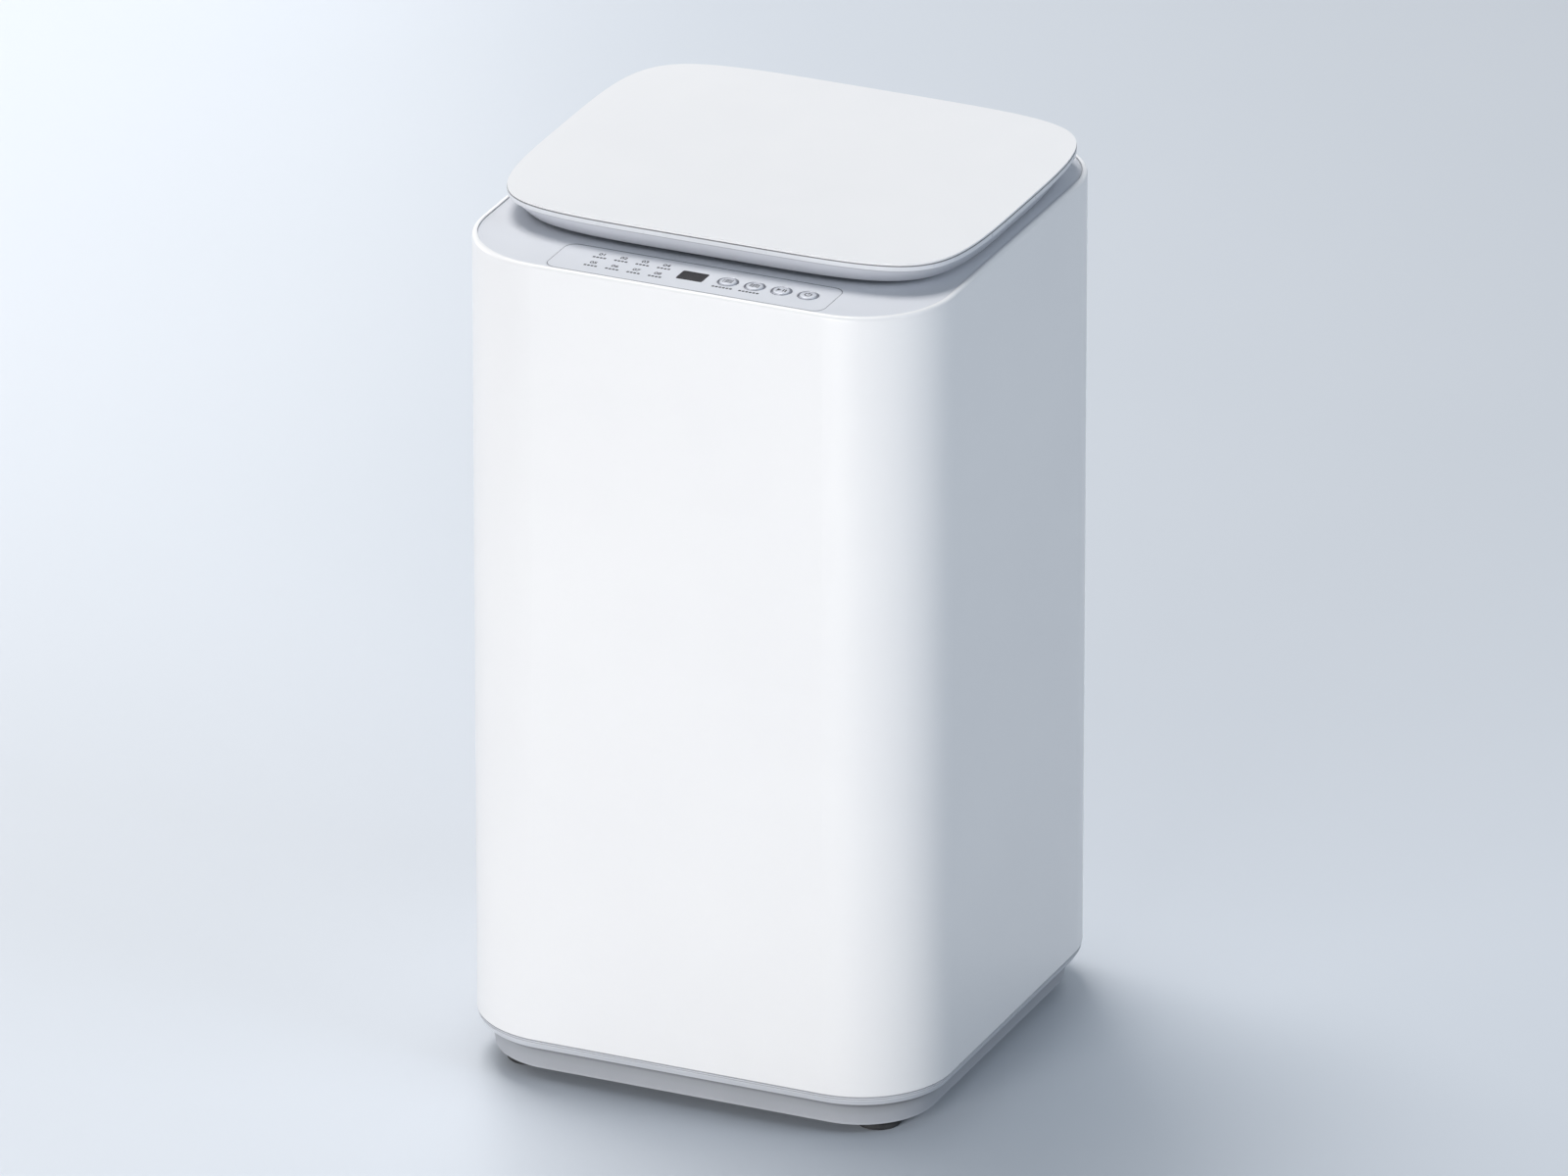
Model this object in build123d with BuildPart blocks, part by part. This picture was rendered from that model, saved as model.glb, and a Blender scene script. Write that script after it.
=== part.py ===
from build123d import *
import os
from math import cos, hypot, radians, sin

# A compact top-loading shoe washer. Sizes are millimetres, +Z is up, the front faces -Y, and the
# origin is on the floor under the middle of the cabinet.

os.makedirs("parts", exist_ok=True)

# Cabinet, seen from above
body_width = 400.0
body_depth = 400.0
body_corner = 76.6
cabinet_wall = 2.5
rim_width = 4.0
rim_height = 4.0
rim_round = 3.0

# Levels, from the floor up
foot_height = 9.5
base_height = 22.0
trim_height = 8.5
cabinet_height = 658.5
deck_drop = 1.0
lid_gap = 3.5
lid_tray_height = 14.2
lid_band_height = 5.3

base_bottom = foot_height
trim_bottom = base_bottom + base_height
cabinet_bottom = trim_bottom + trim_height
cabinet_top = cabinet_bottom + cabinet_height
deck_top = cabinet_top - deck_drop
lid_bottom = deck_top + lid_gap
lid_band_bottom = lid_bottom + lid_tray_height
lid_edge_top = lid_band_bottom + lid_band_height

# Clearances between pieces that are fitted together
fit_gap = 0.15
free_gap = 0.3
shaft_gap = 0.05

# Foot ring and trim band, as distances in from the cabinet's outer face
base_inset_bottom = 14.5
base_inset_top = 11.0
base_wall = 3.0
base_upstand = 20.0
trim_inset_bottom = 3.6
trim_inset_middle = 0.9
trim_middle_height = 4.5
trim_joint_height = 1.2
trim_joint_depth = 1.3
trim_bead_height = 0.9
trim_line_height = 0.8
trim_line_depth = 1.2
trim_lip_width = 2.2
trim_lip_height = 10.0
foot_inset = 50.0
foot_radius = 18.0
foot_stem_radius = 4.0
foot_boss_radius = 12.0
foot_boss_height = 18.0
stud_radius = 5.0
stud_length = 24.0
levelling_pad_height = 5.5

# Deck and mouth
deck_thickness = 3.0
deck_joint_depth = 0.8
deck_joint_width = 0.6
deck_skirt = 2.5
mouth_margin = 12.0
collar_wall = 3.0
collar_length = 44.5
bracket_drop = 50.5
bracket_thickness = 3.0
bracket_cut = 152.0
bracket_tab_drop = 25.0
bracket_tab_thickness = 2.0

# Lid
lid_side_margin = 3.0
lid_front_margin = 56.8
lid_back_margin = 12.5
lid_corner = 140.0
lid_corner_handle = 0.92
lid_tray_handle = 0.86
lid_tray_inset = 10.0
lid_tray_lip = 1.2
lid_wall = 2.5
lid_panel_thickness = 1.0
lid_panel_seam = 0.25
lid_seam_depth = 2.0
lid_seam_height = 0.3
lid_band_width = 6.0
lid_crown = 1.5
lid_boss_radius = 4.0
lid_boss_margin_x = 66.75
lid_boss_margin_y = 70.0

# Lid hinge
hinge_x = 45.0
hinge_setback = 3.5
hinge_rise = 5.0
hinge_pin_radius = 2.0
hinge_ear_radius = 4.5
hinge_ear_width = 4.0
hinge_lug_width = 5.4
hinge_pocket_side = 1.5
hinge_pocket_reach = 7.5
hinge_pocket_rise = 6.7
hinge_pin_overhang = 0.5

# Control panel
overlay_left_margin = 84.5
overlay_right_margin = 81.0
overlay_front_margin = 31.0
overlay_depth = 51.2
overlay_corner = 10.0
overlay_thickness = 0.6
button_last_margin = 22.3
button_pitch = 22.5
button_set_back = 2.3
button_names = ("program_button", "level_button", "start_button", "power_button")
button_cap_radius = 7.0
button_ring_radius = 8.6
button_ring_wall = 1.4
button_ring_rise = 0.6
button_rise = 0.5
button_flange_radius = 9.0
button_flange_thickness = 1.5
button_stem_radius = 3.0
button_edge = 0.4
button_stem_length = 10.0
display_to_button = 29.6
display_set_back = 1.6
display_width = 22.0
display_depth = 16.5
display_corner = 1.5
display_thickness = 1.5
display_ledge = 1.0
board_left_margin = 11.5
board_right_margin = 7.0
board_depth = 44.0
board_drop = 17.5
board_thickness = 1.6
board_post_radius = 4.0
board_post_inset = 6.0
board_middle_post_shift = 18.0
switch_size = 6.0
switch_height = 4.9

# Rear service cover
service_side_margin = 86.0
service_bottom_margin = 18.0
service_top_margin = 11.5
service_corner = 10.0
service_lap = 9.0
service_frame_margin = 6.0
service_frame_thickness = 3.0
cover_thickness = 2.2
pocket_side_margin = 32.0
pocket_radius = 18.0
pocket_wall = 2.0
pocket_depth = 25.0
vent_count = 9
vent_pitch = 9.0
vent_slot_width = 4.0
vent_slot_height = 60.0
vent_rise = 72.0
screw_side_margin = 4.5
screw_end_margin = 22.0
screw_rows = 4
screw_shank_radius = 1.7
screw_head_radius = 3.4
screw_head_height = 1.2
screw_length = 5.0
screw_recess_length = 3.6
screw_recess_width = 0.8
screw_recess_depth = 0.8

# Services at the back
inlet_drop = 29.0
inlet_nipple_radius = 13.2
inlet_shoulder_radius = 15.0
inlet_bore_radius = 9.0
service_nipple_length = 20.0
valve_body_radius = 16.0
valve_body_length = 35.0
valve_bore_floor = 10.0
valve_coil_width = 20.0
valve_coil_front = 6.0
valve_coil_back = 5.0
valve_coil_rise = 11.0
spout_radius = 6.0
spout_bore_radius = 4.5
spout_length = 36.0
outlet_rise = 34.0
outlet_radius = 10.0
outlet_nipple_radius = 9.0
outlet_bore_radius = 7.0
gland_radius = 7.0
gland_flange_radius = 9.5
gland_flange_thickness = 1.2
gland_bore_radius = 4.0
gland_length = 10.0

# Outer tub, hung on four rods
tub_side_gap = 37.0
tub_back_gap = 21.0
tub_wall = 3.0
tub_floor = 4.0
tub_bottom = 200.0
tub_flange_reach = 5.0
tub_flange_height = 6.0
tub_ear_bottom = 250.0
tub_ear_height = 8.0
tub_ear_radius = 16.0
tub_foot_height = 5.0
tub_foot_radius = 9.0
tub_foot_ring = 40.0
cover_ring_thickness = 3.0
cover_ring_overlap = 4.0
cover_ring_lip = 3.0
cover_ring_drop = 10.0
cover_ring_height = 22.0
rod_side_margin = 50.0
rod_end_margin = 66.0
rod_radius = 4.0
rod_hole_radius = 6.0
rod_head_radius = 7.0
rod_head_height = 4.0
rod_bottom = 148.0
seat_radius = 11.0
seat_height = 8.0
cup_radius = 16.0
cup_height = 6.0
cup_bottom = 154.0
spring_radius = 13.0
spring_wire = 2.6
bell_height = 38.0
bell_top = 300.0
bell_stop_short = 17.139
bell_width = 16.0

# Spin basket, pulsator and brush
basket_side_gap = 23.0
basket_wall = 1.2
basket_bottom = 224.0
basket_top_drop = 12.0
basket_round = 10.0
hole_radius = 2.5
hole_rows = 6
hole_columns = 16
hole_end_margin = 66.0
balance_drop = 24.0
balance_height = 22.0
balance_width = 22.0
pulsator_side_gap = 28.0
pulsator_bottom = 230.0
pulsator_thickness = 4.0
vane_count = 6
vane_height = 12.0
vane_width = 8.0
vane_inner = 48.0
vane_end_margin = 6.0
brush_core_radius = 24.0
brush_core_wall = 4.0
brush_base_radius = 42.0
brush_base_height = 8.0
brush_drop = 116.0
brush_cap_height = 10.0
brush_cap_radius = 30.0
bristle_radius = 50.0
bristle_bottom = 252.0

# Shafts, bearings and drive
pulsator_shaft_radius = 8.0
pulsator_shaft_bottom = 58.0
pulsator_screw_hole = 16.0
pulsator_screw_length = 12.0
pulsator_screw_head = 4.0
spin_shaft_radius = 15.0
spin_shaft_bottom = 92.0
spin_flange_radius = 46.0
spin_flange_thickness = 4.0
bearing_radius = 24.0
bearing_height = 14.0
lower_bearing_bottom = 112.0
upper_bearing_bottom = 172.0
seal_bottom = 194.0
seal_height = 10.0
housing_radius = 40.0
housing_bottom = 108.0
housing_flange_radius = 48.0
housing_flange_height = 6.0
housing_neck_radius = 28.0
housing_neck_top = 206.0
housing_bore_radius = 20.0
bracket_plate_thickness = 3.0
bracket_plate_width = 104.0
bracket_plate_right = 62.0
bracket_plate_corner = 8.0
clutch_radius = 32.0
clutch_bottom = 94.0
clutch_height = 11.0
pulley_bottom = 62.0
pulley_height = 20.0
pulley_flange_height = 4.0
pulley_flange_reach = 6.0
pulley_hub_height = 8.0
motor_hub_wall = 4.0
drive_seat_radius = 60.0
motor_seat_radius = 18.0
drive_hub_radius = 16.0
belt_thickness = 4.0
belt_side_gap = 1.5
motor_distance = 95.0
motor_radius = 44.0
motor_bottom = 104.0
motor_shell = 5.0
motor_shaft_radius = 6.0
motor_shaft_bottom = 58.0
winding_inner = 31.0
winding_inset = 8.0
rotor_radius = 30.0
rotor_inset = 12.0

# Drain pump, hose and level sensor
pump_side_margin = 100.0
pump_back_margin = 140.0
pump_motor_radius = 21.0
volute_radius = 28.0
volute_wall = 5.0
volute_bottom = 72.0
volute_height = 40.0
pump_neck_radius = 12.0
pump_neck_bore = 9.0
pump_neck_top = 126.0
pump_outlet_end = 112.0
impeller_radius = 20.0
impeller_hub_radius = 6.0
impeller_shaft_radius = 2.5
impeller_blades = 6
impeller_blade_width = 2.0
impeller_gap = 3.0
impeller_shaft_length = 18.0
impeller_shaft_socket = 20.0
drain_spigot_length = 14.0
hose_radius = 16.0
hose_wall = 4.0
sensor_side_margin = 28.0
sensor_radius = 16.0
sensor_top_gap = 4.5
sensor_height = 18.0
sensor_nipple_length = 4.0
tube_side_margin = 22.0
tube_radius = 3.0
tube_bore = 1.5
power_board_side_margin = 90.0
power_board_front_margin = 96.0
power_board_width = 100.0
power_board_depth = 66.0
power_board_level = 20.0
transformer_place = (12.0, 14.0)
transformer_size = (30.0, 32.0, 22.0)
relay_place = (52.0, 12.0)
relay_size = (18.0, 12.0, 15.0)
capacitor_place = (82.0, 46.0)
capacitor_radius = 7.0
capacitor_height = 20.0

# Places and sizes that follow from the ones above
half_width = body_width / 2
half_depth = body_depth / 2
inner_back = half_depth - cabinet_wall
outer_back = half_depth
cover_face = inner_back + cover_thickness
base_floor_top = base_bottom + base_wall
deck_underside = deck_top - deck_thickness
collar_bottom = deck_underside - collar_length
bracket_top = deck_underside - bracket_drop
skirt_inset = rim_width + fit_gap
foot_x = half_width - foot_inset
foot_y = half_depth - foot_inset

lid_width = body_width - 2 * lid_side_margin
lid_depth = body_depth - lid_front_margin - lid_back_margin
lid_center_y = (lid_front_margin - lid_back_margin) / 2
lid_boss_x = lid_width / 2 - lid_boss_margin_x
lid_boss_y = lid_depth / 2 - lid_boss_margin_y
lid_panel_bottom = lid_edge_top - lid_panel_thickness
hinge_y = lid_center_y + lid_depth / 2 - hinge_setback
hinge_z = lid_bottom + hinge_rise

overlay_left = overlay_left_margin - half_width
overlay_right = half_width - overlay_right_margin
overlay_y = overlay_front_margin - half_depth
button_span = button_pitch * (len(button_names) - 1)
button_first_x = overlay_right - button_last_margin - button_span
button_stem_bottom = deck_top - button_stem_length
display_x = button_first_x - display_to_button
display_y = overlay_y + display_set_back
board_left = overlay_left + board_left_margin
board_right = overlay_right - board_right_margin
board_front = overlay_y - board_depth / 2
board_back = overlay_y + board_depth / 2
board_level = deck_top - board_drop

service_width = body_width - 2 * service_side_margin
service_bottom = cabinet_bottom + service_bottom_margin
service_top = cabinet_top - service_top_margin
service_center = (0, (service_bottom + service_top) / 2)
service_height = service_top - service_bottom
service_frame_width = service_width + 2 * service_frame_margin
pocket_x = service_width / 2 - pocket_side_margin
pocket_floor_y = outer_back - pocket_depth
vent_z = service_bottom + vent_rise
screw_x = service_width / 2 - screw_side_margin
screw_step = (service_height - 2 * screw_end_margin) / (screw_rows - 1)
screw_levels = [service_bottom + screw_end_margin + i * screw_step for i in range(screw_rows)]
inlet_z = service_top - inlet_drop
outlet_z = service_bottom + outlet_rise
valve_body_front = pocket_floor_y - valve_body_length
spout_front = valve_body_front - spout_length

tub_radius = min(half_width, half_depth) - tub_side_gap
tub_y = half_depth - tub_back_gap - tub_radius
tub_inner_radius = tub_radius - tub_wall
tub_flange_radius = tub_radius + tub_flange_reach
tub_floor_top = tub_bottom + tub_floor
cover_ring_top = collar_bottom - cover_ring_drop
tub_top = cover_ring_top - cover_ring_height
rod_x = half_width - rod_side_margin
rod_reach_y = half_depth - rod_end_margin
bell_reach = hypot(rod_x, rod_reach_y) - bell_stop_short

basket_radius = tub_radius - basket_side_gap
basket_top = tub_top - basket_top_drop
hole_first_z = basket_bottom + hole_end_margin
hole_pitch_z = (basket_top - hole_end_margin - hole_first_z) / (hole_rows - 1)
balance_bottom = basket_top - balance_drop
balance_inner = basket_radius - balance_width
cover_ring_inner = basket_radius - cover_ring_overlap
mouth_radius = basket_radius - mouth_margin
pulsator_radius = basket_radius - pulsator_side_gap
vane_outer = pulsator_radius - vane_end_margin
brush_top = basket_top - brush_drop

bracket_reach = half_width + half_depth - bracket_cut
bracket_plate_top = tub_bottom - tub_foot_height
bracket_plate_bottom = bracket_plate_top - bracket_plate_thickness
pump_x = half_width - pump_side_margin
pump_y = half_depth - pump_back_margin
sensor_x = half_width - sensor_side_margin
sensor_bottom = deck_underside - sensor_top_gap - sensor_height
tube_x = half_width - tube_side_margin
power_board_x = power_board_side_margin - half_width
power_board_y = power_board_front_margin - half_depth
rod_points = [
    (side * rod_x, tub_y + end * rod_reach_y) for side in (-1, 1) for end in (-1, 1)
]
button_y = overlay_y + button_set_back
button_points = [(button_first_x + i * button_pitch, button_y) for i in range(len(button_names))]
motor_x = -motor_distance


def outline(inset, mode=Mode.ADD):
    """The machine's rounded-square plan, drawn in from the cabinet's outer face."""
    RectangleRounded(
        body_width - 2 * inset, body_depth - 2 * inset, body_corner - inset, mode=mode
    )


def lid_outline(inset, handle=lid_corner_handle, mode=Mode.ADD):
    """The lid's plan: four straight runs joined by soft corners that ease into them."""
    half_x = lid_width / 2 - inset
    half_y = lid_depth / 2 - inset
    run = lid_corner - inset
    ease = run * (1 - handle)
    with BuildLine() as edge:
        for sx, sy in ((1, 1), (-1, 1), (-1, -1), (1, -1)):
            side_end = (sx * half_x, sy * (half_y - run))
            side_pull = (sx * half_x, sy * (half_y - ease))
            end_pull = (sx * (half_x - ease), sy * half_y)
            end_start = (sx * (half_x - run), sy * half_y)
            Bezier(side_end, side_pull, end_pull, end_start)
        for side in (1, -1):
            Line((half_x - run, side * half_y), (run - half_x, side * half_y))
            Line((side * half_x, half_y - run), (side * half_x, run - half_y))
    make_face(edge.edges(), mode=mode)


def edge_groove(inset, depth, z_from, z_to):
    """A groove cut into the edge of a plate or band that follows the machine's plan."""
    with BuildSketch(Plane.XY.offset(z_from)) as groove:
        outline(inset - 1)
        outline(inset + depth, mode=Mode.SUBTRACT)
    extrude(groove.sketch, amount=z_to - z_from, mode=Mode.SUBTRACT)


def lid_plane(level):
    """A level plane centred under the lid."""
    return Plane((0, lid_center_y, level))


def upright(points, radius, z_from, z_to, mode=Mode.ADD):
    """Round upright posts or holes that run from one level to another."""
    with BuildSketch(Plane.XY.offset(z_from)) as profile:
        with Locations(*points):
            Circle(radius)
    extrude(profile.sketch, amount=z_to - z_from, mode=mode)


def upright_ring(points, radius, bore, z_from, z_to, mode=Mode.ADD):
    """Upright tubes that run from one level to another."""
    with BuildSketch(Plane.XY.offset(z_from)) as profile:
        with Locations(*points):
            Circle(radius)
            Circle(bore, mode=Mode.SUBTRACT)
    extrude(profile.sketch, amount=z_to - z_from, mode=mode)


def rearward(points, radius, y_from, y_to, mode=Mode.ADD):
    """Round pegs or holes along Y, at points given as (x, z)."""
    with BuildSketch(Plane.XZ.offset(-y_to)) as profile:
        with Locations(*points):
            Circle(radius)
    extrude(profile.sketch, amount=y_to - y_from, mode=mode)


def block(x_from, x_to, y_from, y_to, z_from, z_to, mode=Mode.ADD):
    """A plain box between two corners."""
    with BuildSketch(Plane.XY.offset(z_from)) as profile:
        with Locations(((x_from + x_to) / 2, (y_from + y_to) / 2)):
            Rectangle(x_to - x_from, y_to - y_from)
    extrude(profile.sketch, amount=z_to - z_from, mode=mode)


def turned(points, center_x=0.0, center_y=0.0, mode=Mode.ADD):
    """A turned solid: a closed outline of (radius, height) points, spun about an upright axis."""
    with BuildSketch(Plane((center_x, center_y, 0), x_dir=(1, 0, 0), z_dir=(0, -1, 0))) as section:
        with BuildLine():
            Polyline(*points, close=True)
        make_face()
    revolve(section.sketch, axis=Axis((center_x, center_y, 0), (0, 0, 1)), mode=mode)


# Cabinet: one moulded wrap with a rounded rim, a rear opening and a frame behind its edge
with BuildPart() as cabinet:
    with BuildSketch(Plane.XY.offset(cabinet_bottom)):
        outline(0)
    extrude(amount=cabinet_height)
    fillet(cabinet.faces().sort_by(Axis.Z)[-1].edges(), rim_round)
    with BuildSketch(Plane.XY.offset(cabinet_bottom)):
        outline(cabinet_wall)
    extrude(amount=cabinet_height - rim_height, mode=Mode.SUBTRACT)
    with BuildSketch(Plane.XY.offset(cabinet_top - rim_height)):
        outline(rim_width)
    extrude(amount=rim_height, mode=Mode.SUBTRACT)
    with BuildSketch(Plane.XZ.offset(-outer_back)):
        with Locations(service_center):
            RectangleRounded(
                service_width + 2 * free_gap, service_height + 2 * free_gap, service_corner
            )
    extrude(amount=cabinet_wall, mode=Mode.SUBTRACT)
    with BuildSketch(Plane.XZ.offset(-inner_back)):
        with Locations(service_center):
            RectangleRounded(
                service_frame_width,
                service_height + 2 * service_frame_margin,
                service_corner + service_frame_margin,
            )
            RectangleRounded(
                service_width - 2 * service_lap,
                service_height - 2 * service_lap,
                service_corner,
                mode=Mode.SUBTRACT,
            )
    extrude(amount=service_frame_thickness)
    service_screws = [(side * screw_x, z) for side in (-1, 1) for z in screw_levels]
    rearward(
        service_screws,
        screw_shank_radius,
        inner_back - service_frame_thickness,
        inner_back,
        mode=Mode.SUBTRACT,
    )
cabinet.part.label = "cabinet"
export_step(cabinet.part, "parts/cabinet.step")

# Trim band: a ring that curves in under the cabinet, with a lip that locates the wall.
# A narrow joint shows under the cabinet's edge, then a bead and a fine line.
with BuildPart() as trim_band:
    trim_steps = (
        (trim_bottom, trim_inset_bottom),
        (trim_bottom + trim_middle_height, trim_inset_middle),
        (cabinet_bottom, 0.0),
    )
    for level, inset in trim_steps:
        with BuildSketch(Plane.XY.offset(level)):
            outline(inset)
    loft(ruled=True)
    lip_inset = cabinet_wall + fit_gap
    with BuildSketch(Plane.XY.offset(cabinet_bottom)):
        outline(lip_inset)
    extrude(amount=trim_lip_height)
    with BuildSketch(Plane.XY.offset(cabinet_bottom)):
        outline(lip_inset + trim_lip_width)
    extrude(amount=trim_lip_height, mode=Mode.SUBTRACT)
    with BuildSketch(Plane.XY.offset(trim_bottom)):
        outline(base_inset_top - fit_gap)
    extrude(amount=trim_height, mode=Mode.SUBTRACT)
    joint_bottom = cabinet_bottom - trim_joint_height
    line_top = joint_bottom - trim_bead_height
    edge_groove(0, trim_joint_depth, joint_bottom, cabinet_bottom)
    edge_groove(0, trim_line_depth, line_top - trim_line_height, line_top)
trim_band.part.label = "trim_band"
export_step(trim_band.part, "parts/trim_band.step")

# Base tray: the foot ring tapers in towards the floor, and its wall stands up inside the trim band
with BuildPart() as base_tray:
    with BuildSketch(Plane.XY.offset(base_bottom)):
        outline(base_inset_bottom)
    with BuildSketch(Plane.XY.offset(trim_bottom)):
        outline(base_inset_top)
    loft(ruled=True)
    with BuildSketch(Plane.XY.offset(trim_bottom)):
        outline(base_inset_top)
    extrude(amount=base_upstand)
    with BuildSketch(Plane.XY.offset(base_floor_top)):
        outline(base_inset_bottom + base_wall)
    with BuildSketch(Plane.XY.offset(trim_bottom)):
        outline(base_inset_top + base_wall)
    loft(ruled=True, mode=Mode.SUBTRACT)
    with BuildSketch(Plane.XY.offset(trim_bottom)):
        outline(base_inset_top + base_wall)
    extrude(amount=base_upstand, mode=Mode.SUBTRACT)
    foot_points = [(sx * foot_x, sy * foot_y) for sx in (-1, 1) for sy in (-1, 1)]
    level_point = (foot_x, -foot_y)
    fixed_points = [point for point in foot_points if point != level_point]
    upright(foot_points, foot_boss_radius, base_floor_top, base_bottom + foot_boss_height)
    upright(
        fixed_points,
        foot_stem_radius + fit_gap,
        base_bottom,
        base_bottom + foot_boss_height,
        mode=Mode.SUBTRACT,
    )
    upright(
        [level_point],
        stud_radius + shaft_gap,
        base_bottom,
        base_bottom + foot_boss_height,
        mode=Mode.SUBTRACT,
    )
    board_posts = [
        (
            power_board_x + sx * (power_board_width / 2 - board_post_radius),
            power_board_y + sy * (power_board_depth / 2 - board_post_radius),
        )
        for sx in (-1, 1)
        for sy in (-1, 1)
    ]
    upright(board_posts, board_post_radius, base_floor_top, power_board_level)
base_tray.part.label = "base_tray"
export_step(base_tray.part, "parts/base_tray.step")

# Feet: three rubber pads pushed into bosses, and one on a threaded stud that levels the machine
foot_names = {
    (-foot_x, -foot_y): "foot_front_left",
    (-foot_x, foot_y): "foot_rear_left",
    (foot_x, foot_y): "foot_rear_right",
}
for foot_point, foot_name in foot_names.items():
    with BuildPart() as foot:
        upright([foot_point], foot_radius, 0, foot_height)
        chamfer(foot.faces().sort_by(Axis.Z)[0].edges(), 1.0)
        upright([foot_point], foot_stem_radius, foot_height, foot_height + foot_boss_height - 4)
    foot.part.label = foot_name
    export_step(foot.part, f"parts/{foot_name}.step")

with BuildPart() as levelling_foot:
    upright([level_point], foot_radius, 0, levelling_pad_height)
    chamfer(levelling_foot.faces().sort_by(Axis.Z)[0].edges(), 1.0)
    upright([level_point], stud_radius, levelling_pad_height, levelling_pad_height + stud_length)
levelling_foot.part.label = "levelling_foot"
export_step(levelling_foot.part, "parts/levelling_foot.step")

# Corner brackets: four steel shelves that carry the deck and the suspension rods
with BuildPart() as corner_brackets:
    bracket_inset = cabinet_wall + fit_gap
    diamond = bracket_reach * 2 ** 0.5
    with BuildSketch(Plane.XY.offset(bracket_top - bracket_thickness)):
        outline(bracket_inset)
        Rectangle(diamond, diamond, rotation=45, mode=Mode.SUBTRACT)
        Rectangle(service_frame_width + 2 * free_gap, body_depth, mode=Mode.SUBTRACT)
        with Locations(*rod_points):
            Circle(rod_hole_radius, mode=Mode.SUBTRACT)
    extrude(amount=bracket_thickness)
    with BuildSketch(Plane.XY.offset(bracket_top - bracket_thickness - bracket_tab_drop)):
        outline(bracket_inset)
        outline(bracket_inset + bracket_tab_thickness, mode=Mode.SUBTRACT)
        Rectangle(diamond, diamond, rotation=45, mode=Mode.SUBTRACT)
        Rectangle(service_frame_width + 2 * free_gap, body_depth, mode=Mode.SUBTRACT)
    extrude(amount=bracket_tab_drop)
corner_brackets.part.label = "corner_brackets"
export_step(corner_brackets.part, "parts/corner_brackets.step")

# Top deck: a flat plate inside the rim, a skirt that stands on the brackets, and the mouth collar
overlay_x = (overlay_left + overlay_right) / 2
overlay_width = overlay_right - overlay_left
ear_offset = hinge_lug_width / 2 + free_gap + hinge_ear_width / 2
with BuildPart() as top_deck:
    with BuildSketch(Plane.XY.offset(deck_underside)):
        outline(skirt_inset)
    extrude(amount=deck_thickness)
    with BuildSketch(Plane.XY.offset(bracket_top)):
        outline(skirt_inset)
        outline(skirt_inset + deck_skirt, mode=Mode.SUBTRACT)
    extrude(amount=deck_underside - bracket_top)
    edge_groove(skirt_inset, deck_joint_width, deck_top - deck_joint_depth, deck_top)
    upright([(0, tub_y)], mouth_radius + collar_wall, collar_bottom, deck_top)
    upright([(0, tub_y)], mouth_radius, collar_bottom, deck_top, mode=Mode.SUBTRACT)
    # The skirt stops short of the service cover's frame and pockets
    block(
        -service_frame_width / 2 - free_gap,
        service_frame_width / 2 + free_gap,
        outer_back - skirt_inset - deck_skirt - 1,
        outer_back,
        bracket_top,
        service_top + service_frame_margin + free_gap,
        mode=Mode.SUBTRACT,
    )
    # The panel's pocket, with holes for the caps and the display
    with BuildSketch(Plane.XY.offset(deck_top - overlay_thickness)):
        with Locations((overlay_x, overlay_y)):
            RectangleRounded(
                overlay_width + 2 * fit_gap, overlay_depth + 2 * fit_gap, overlay_corner + fit_gap
            )
    extrude(amount=overlay_thickness, mode=Mode.SUBTRACT)
    upright(
        button_points,
        button_ring_radius - button_ring_wall,
        deck_underside,
        deck_top,
        mode=Mode.SUBTRACT,
    )
    with BuildSketch(Plane.XY.offset(deck_underside)):
        with Locations((display_x, display_y)):
            Rectangle(display_width - 2 * display_ledge, display_depth - 2 * display_ledge)
    extrude(amount=deck_thickness, mode=Mode.SUBTRACT)
    with BuildSketch(Plane.XY.offset(deck_top - display_thickness)):
        with Locations((display_x, display_y)):
            RectangleRounded(
                display_width + 2 * fit_gap, display_depth + 2 * fit_gap, display_corner + fit_gap
            )
    extrude(amount=display_thickness, mode=Mode.SUBTRACT)
    # Posts that carry the control board
    board_middle = (board_left + board_right) / 2 - board_middle_post_shift
    post_x = (board_left + board_post_inset, board_middle, board_right - board_post_inset)
    post_y = (board_front + board_post_inset, board_back - board_post_inset)
    deck_posts = [(x, y) for x in post_x for y in post_y]
    upright(deck_posts, board_post_radius, board_level + board_thickness, deck_underside)
    # The level sensor hangs on a post of its own
    upright([(sensor_x, tub_y)], board_post_radius, sensor_bottom + sensor_height, deck_underside)
    # Hole for the water spout through the collar
    rearward(
        [(-pocket_x, inlet_z)], spout_radius + free_gap, spout_front, valve_body_front,
        mode=Mode.SUBTRACT,
    )
    # Hinge ears in two pairs
    for side in (-1, 1):
        for pair in (-1, 1):
            ear_x = side * hinge_x + pair * ear_offset
            block(
                ear_x - hinge_ear_width / 2,
                ear_x + hinge_ear_width / 2,
                hinge_y - hinge_ear_radius,
                hinge_y + hinge_ear_radius,
                deck_top,
                hinge_z,
            )
            with BuildSketch(Plane.YZ.offset(ear_x - hinge_ear_width / 2)):
                with Locations((hinge_y, hinge_z)):
                    Circle(hinge_ear_radius)
            extrude(amount=hinge_ear_width)
    with BuildSketch(Plane.YZ.offset(-(hinge_x + ear_offset + hinge_ear_width))):
        with Locations((hinge_y, hinge_z)):
            Circle(hinge_pin_radius + shaft_gap)
    extrude(amount=2 * (hinge_x + ear_offset + hinge_ear_width), mode=Mode.SUBTRACT)
top_deck.part.label = "top_deck"
export_step(top_deck.part, "parts/top_deck.step")

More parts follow.
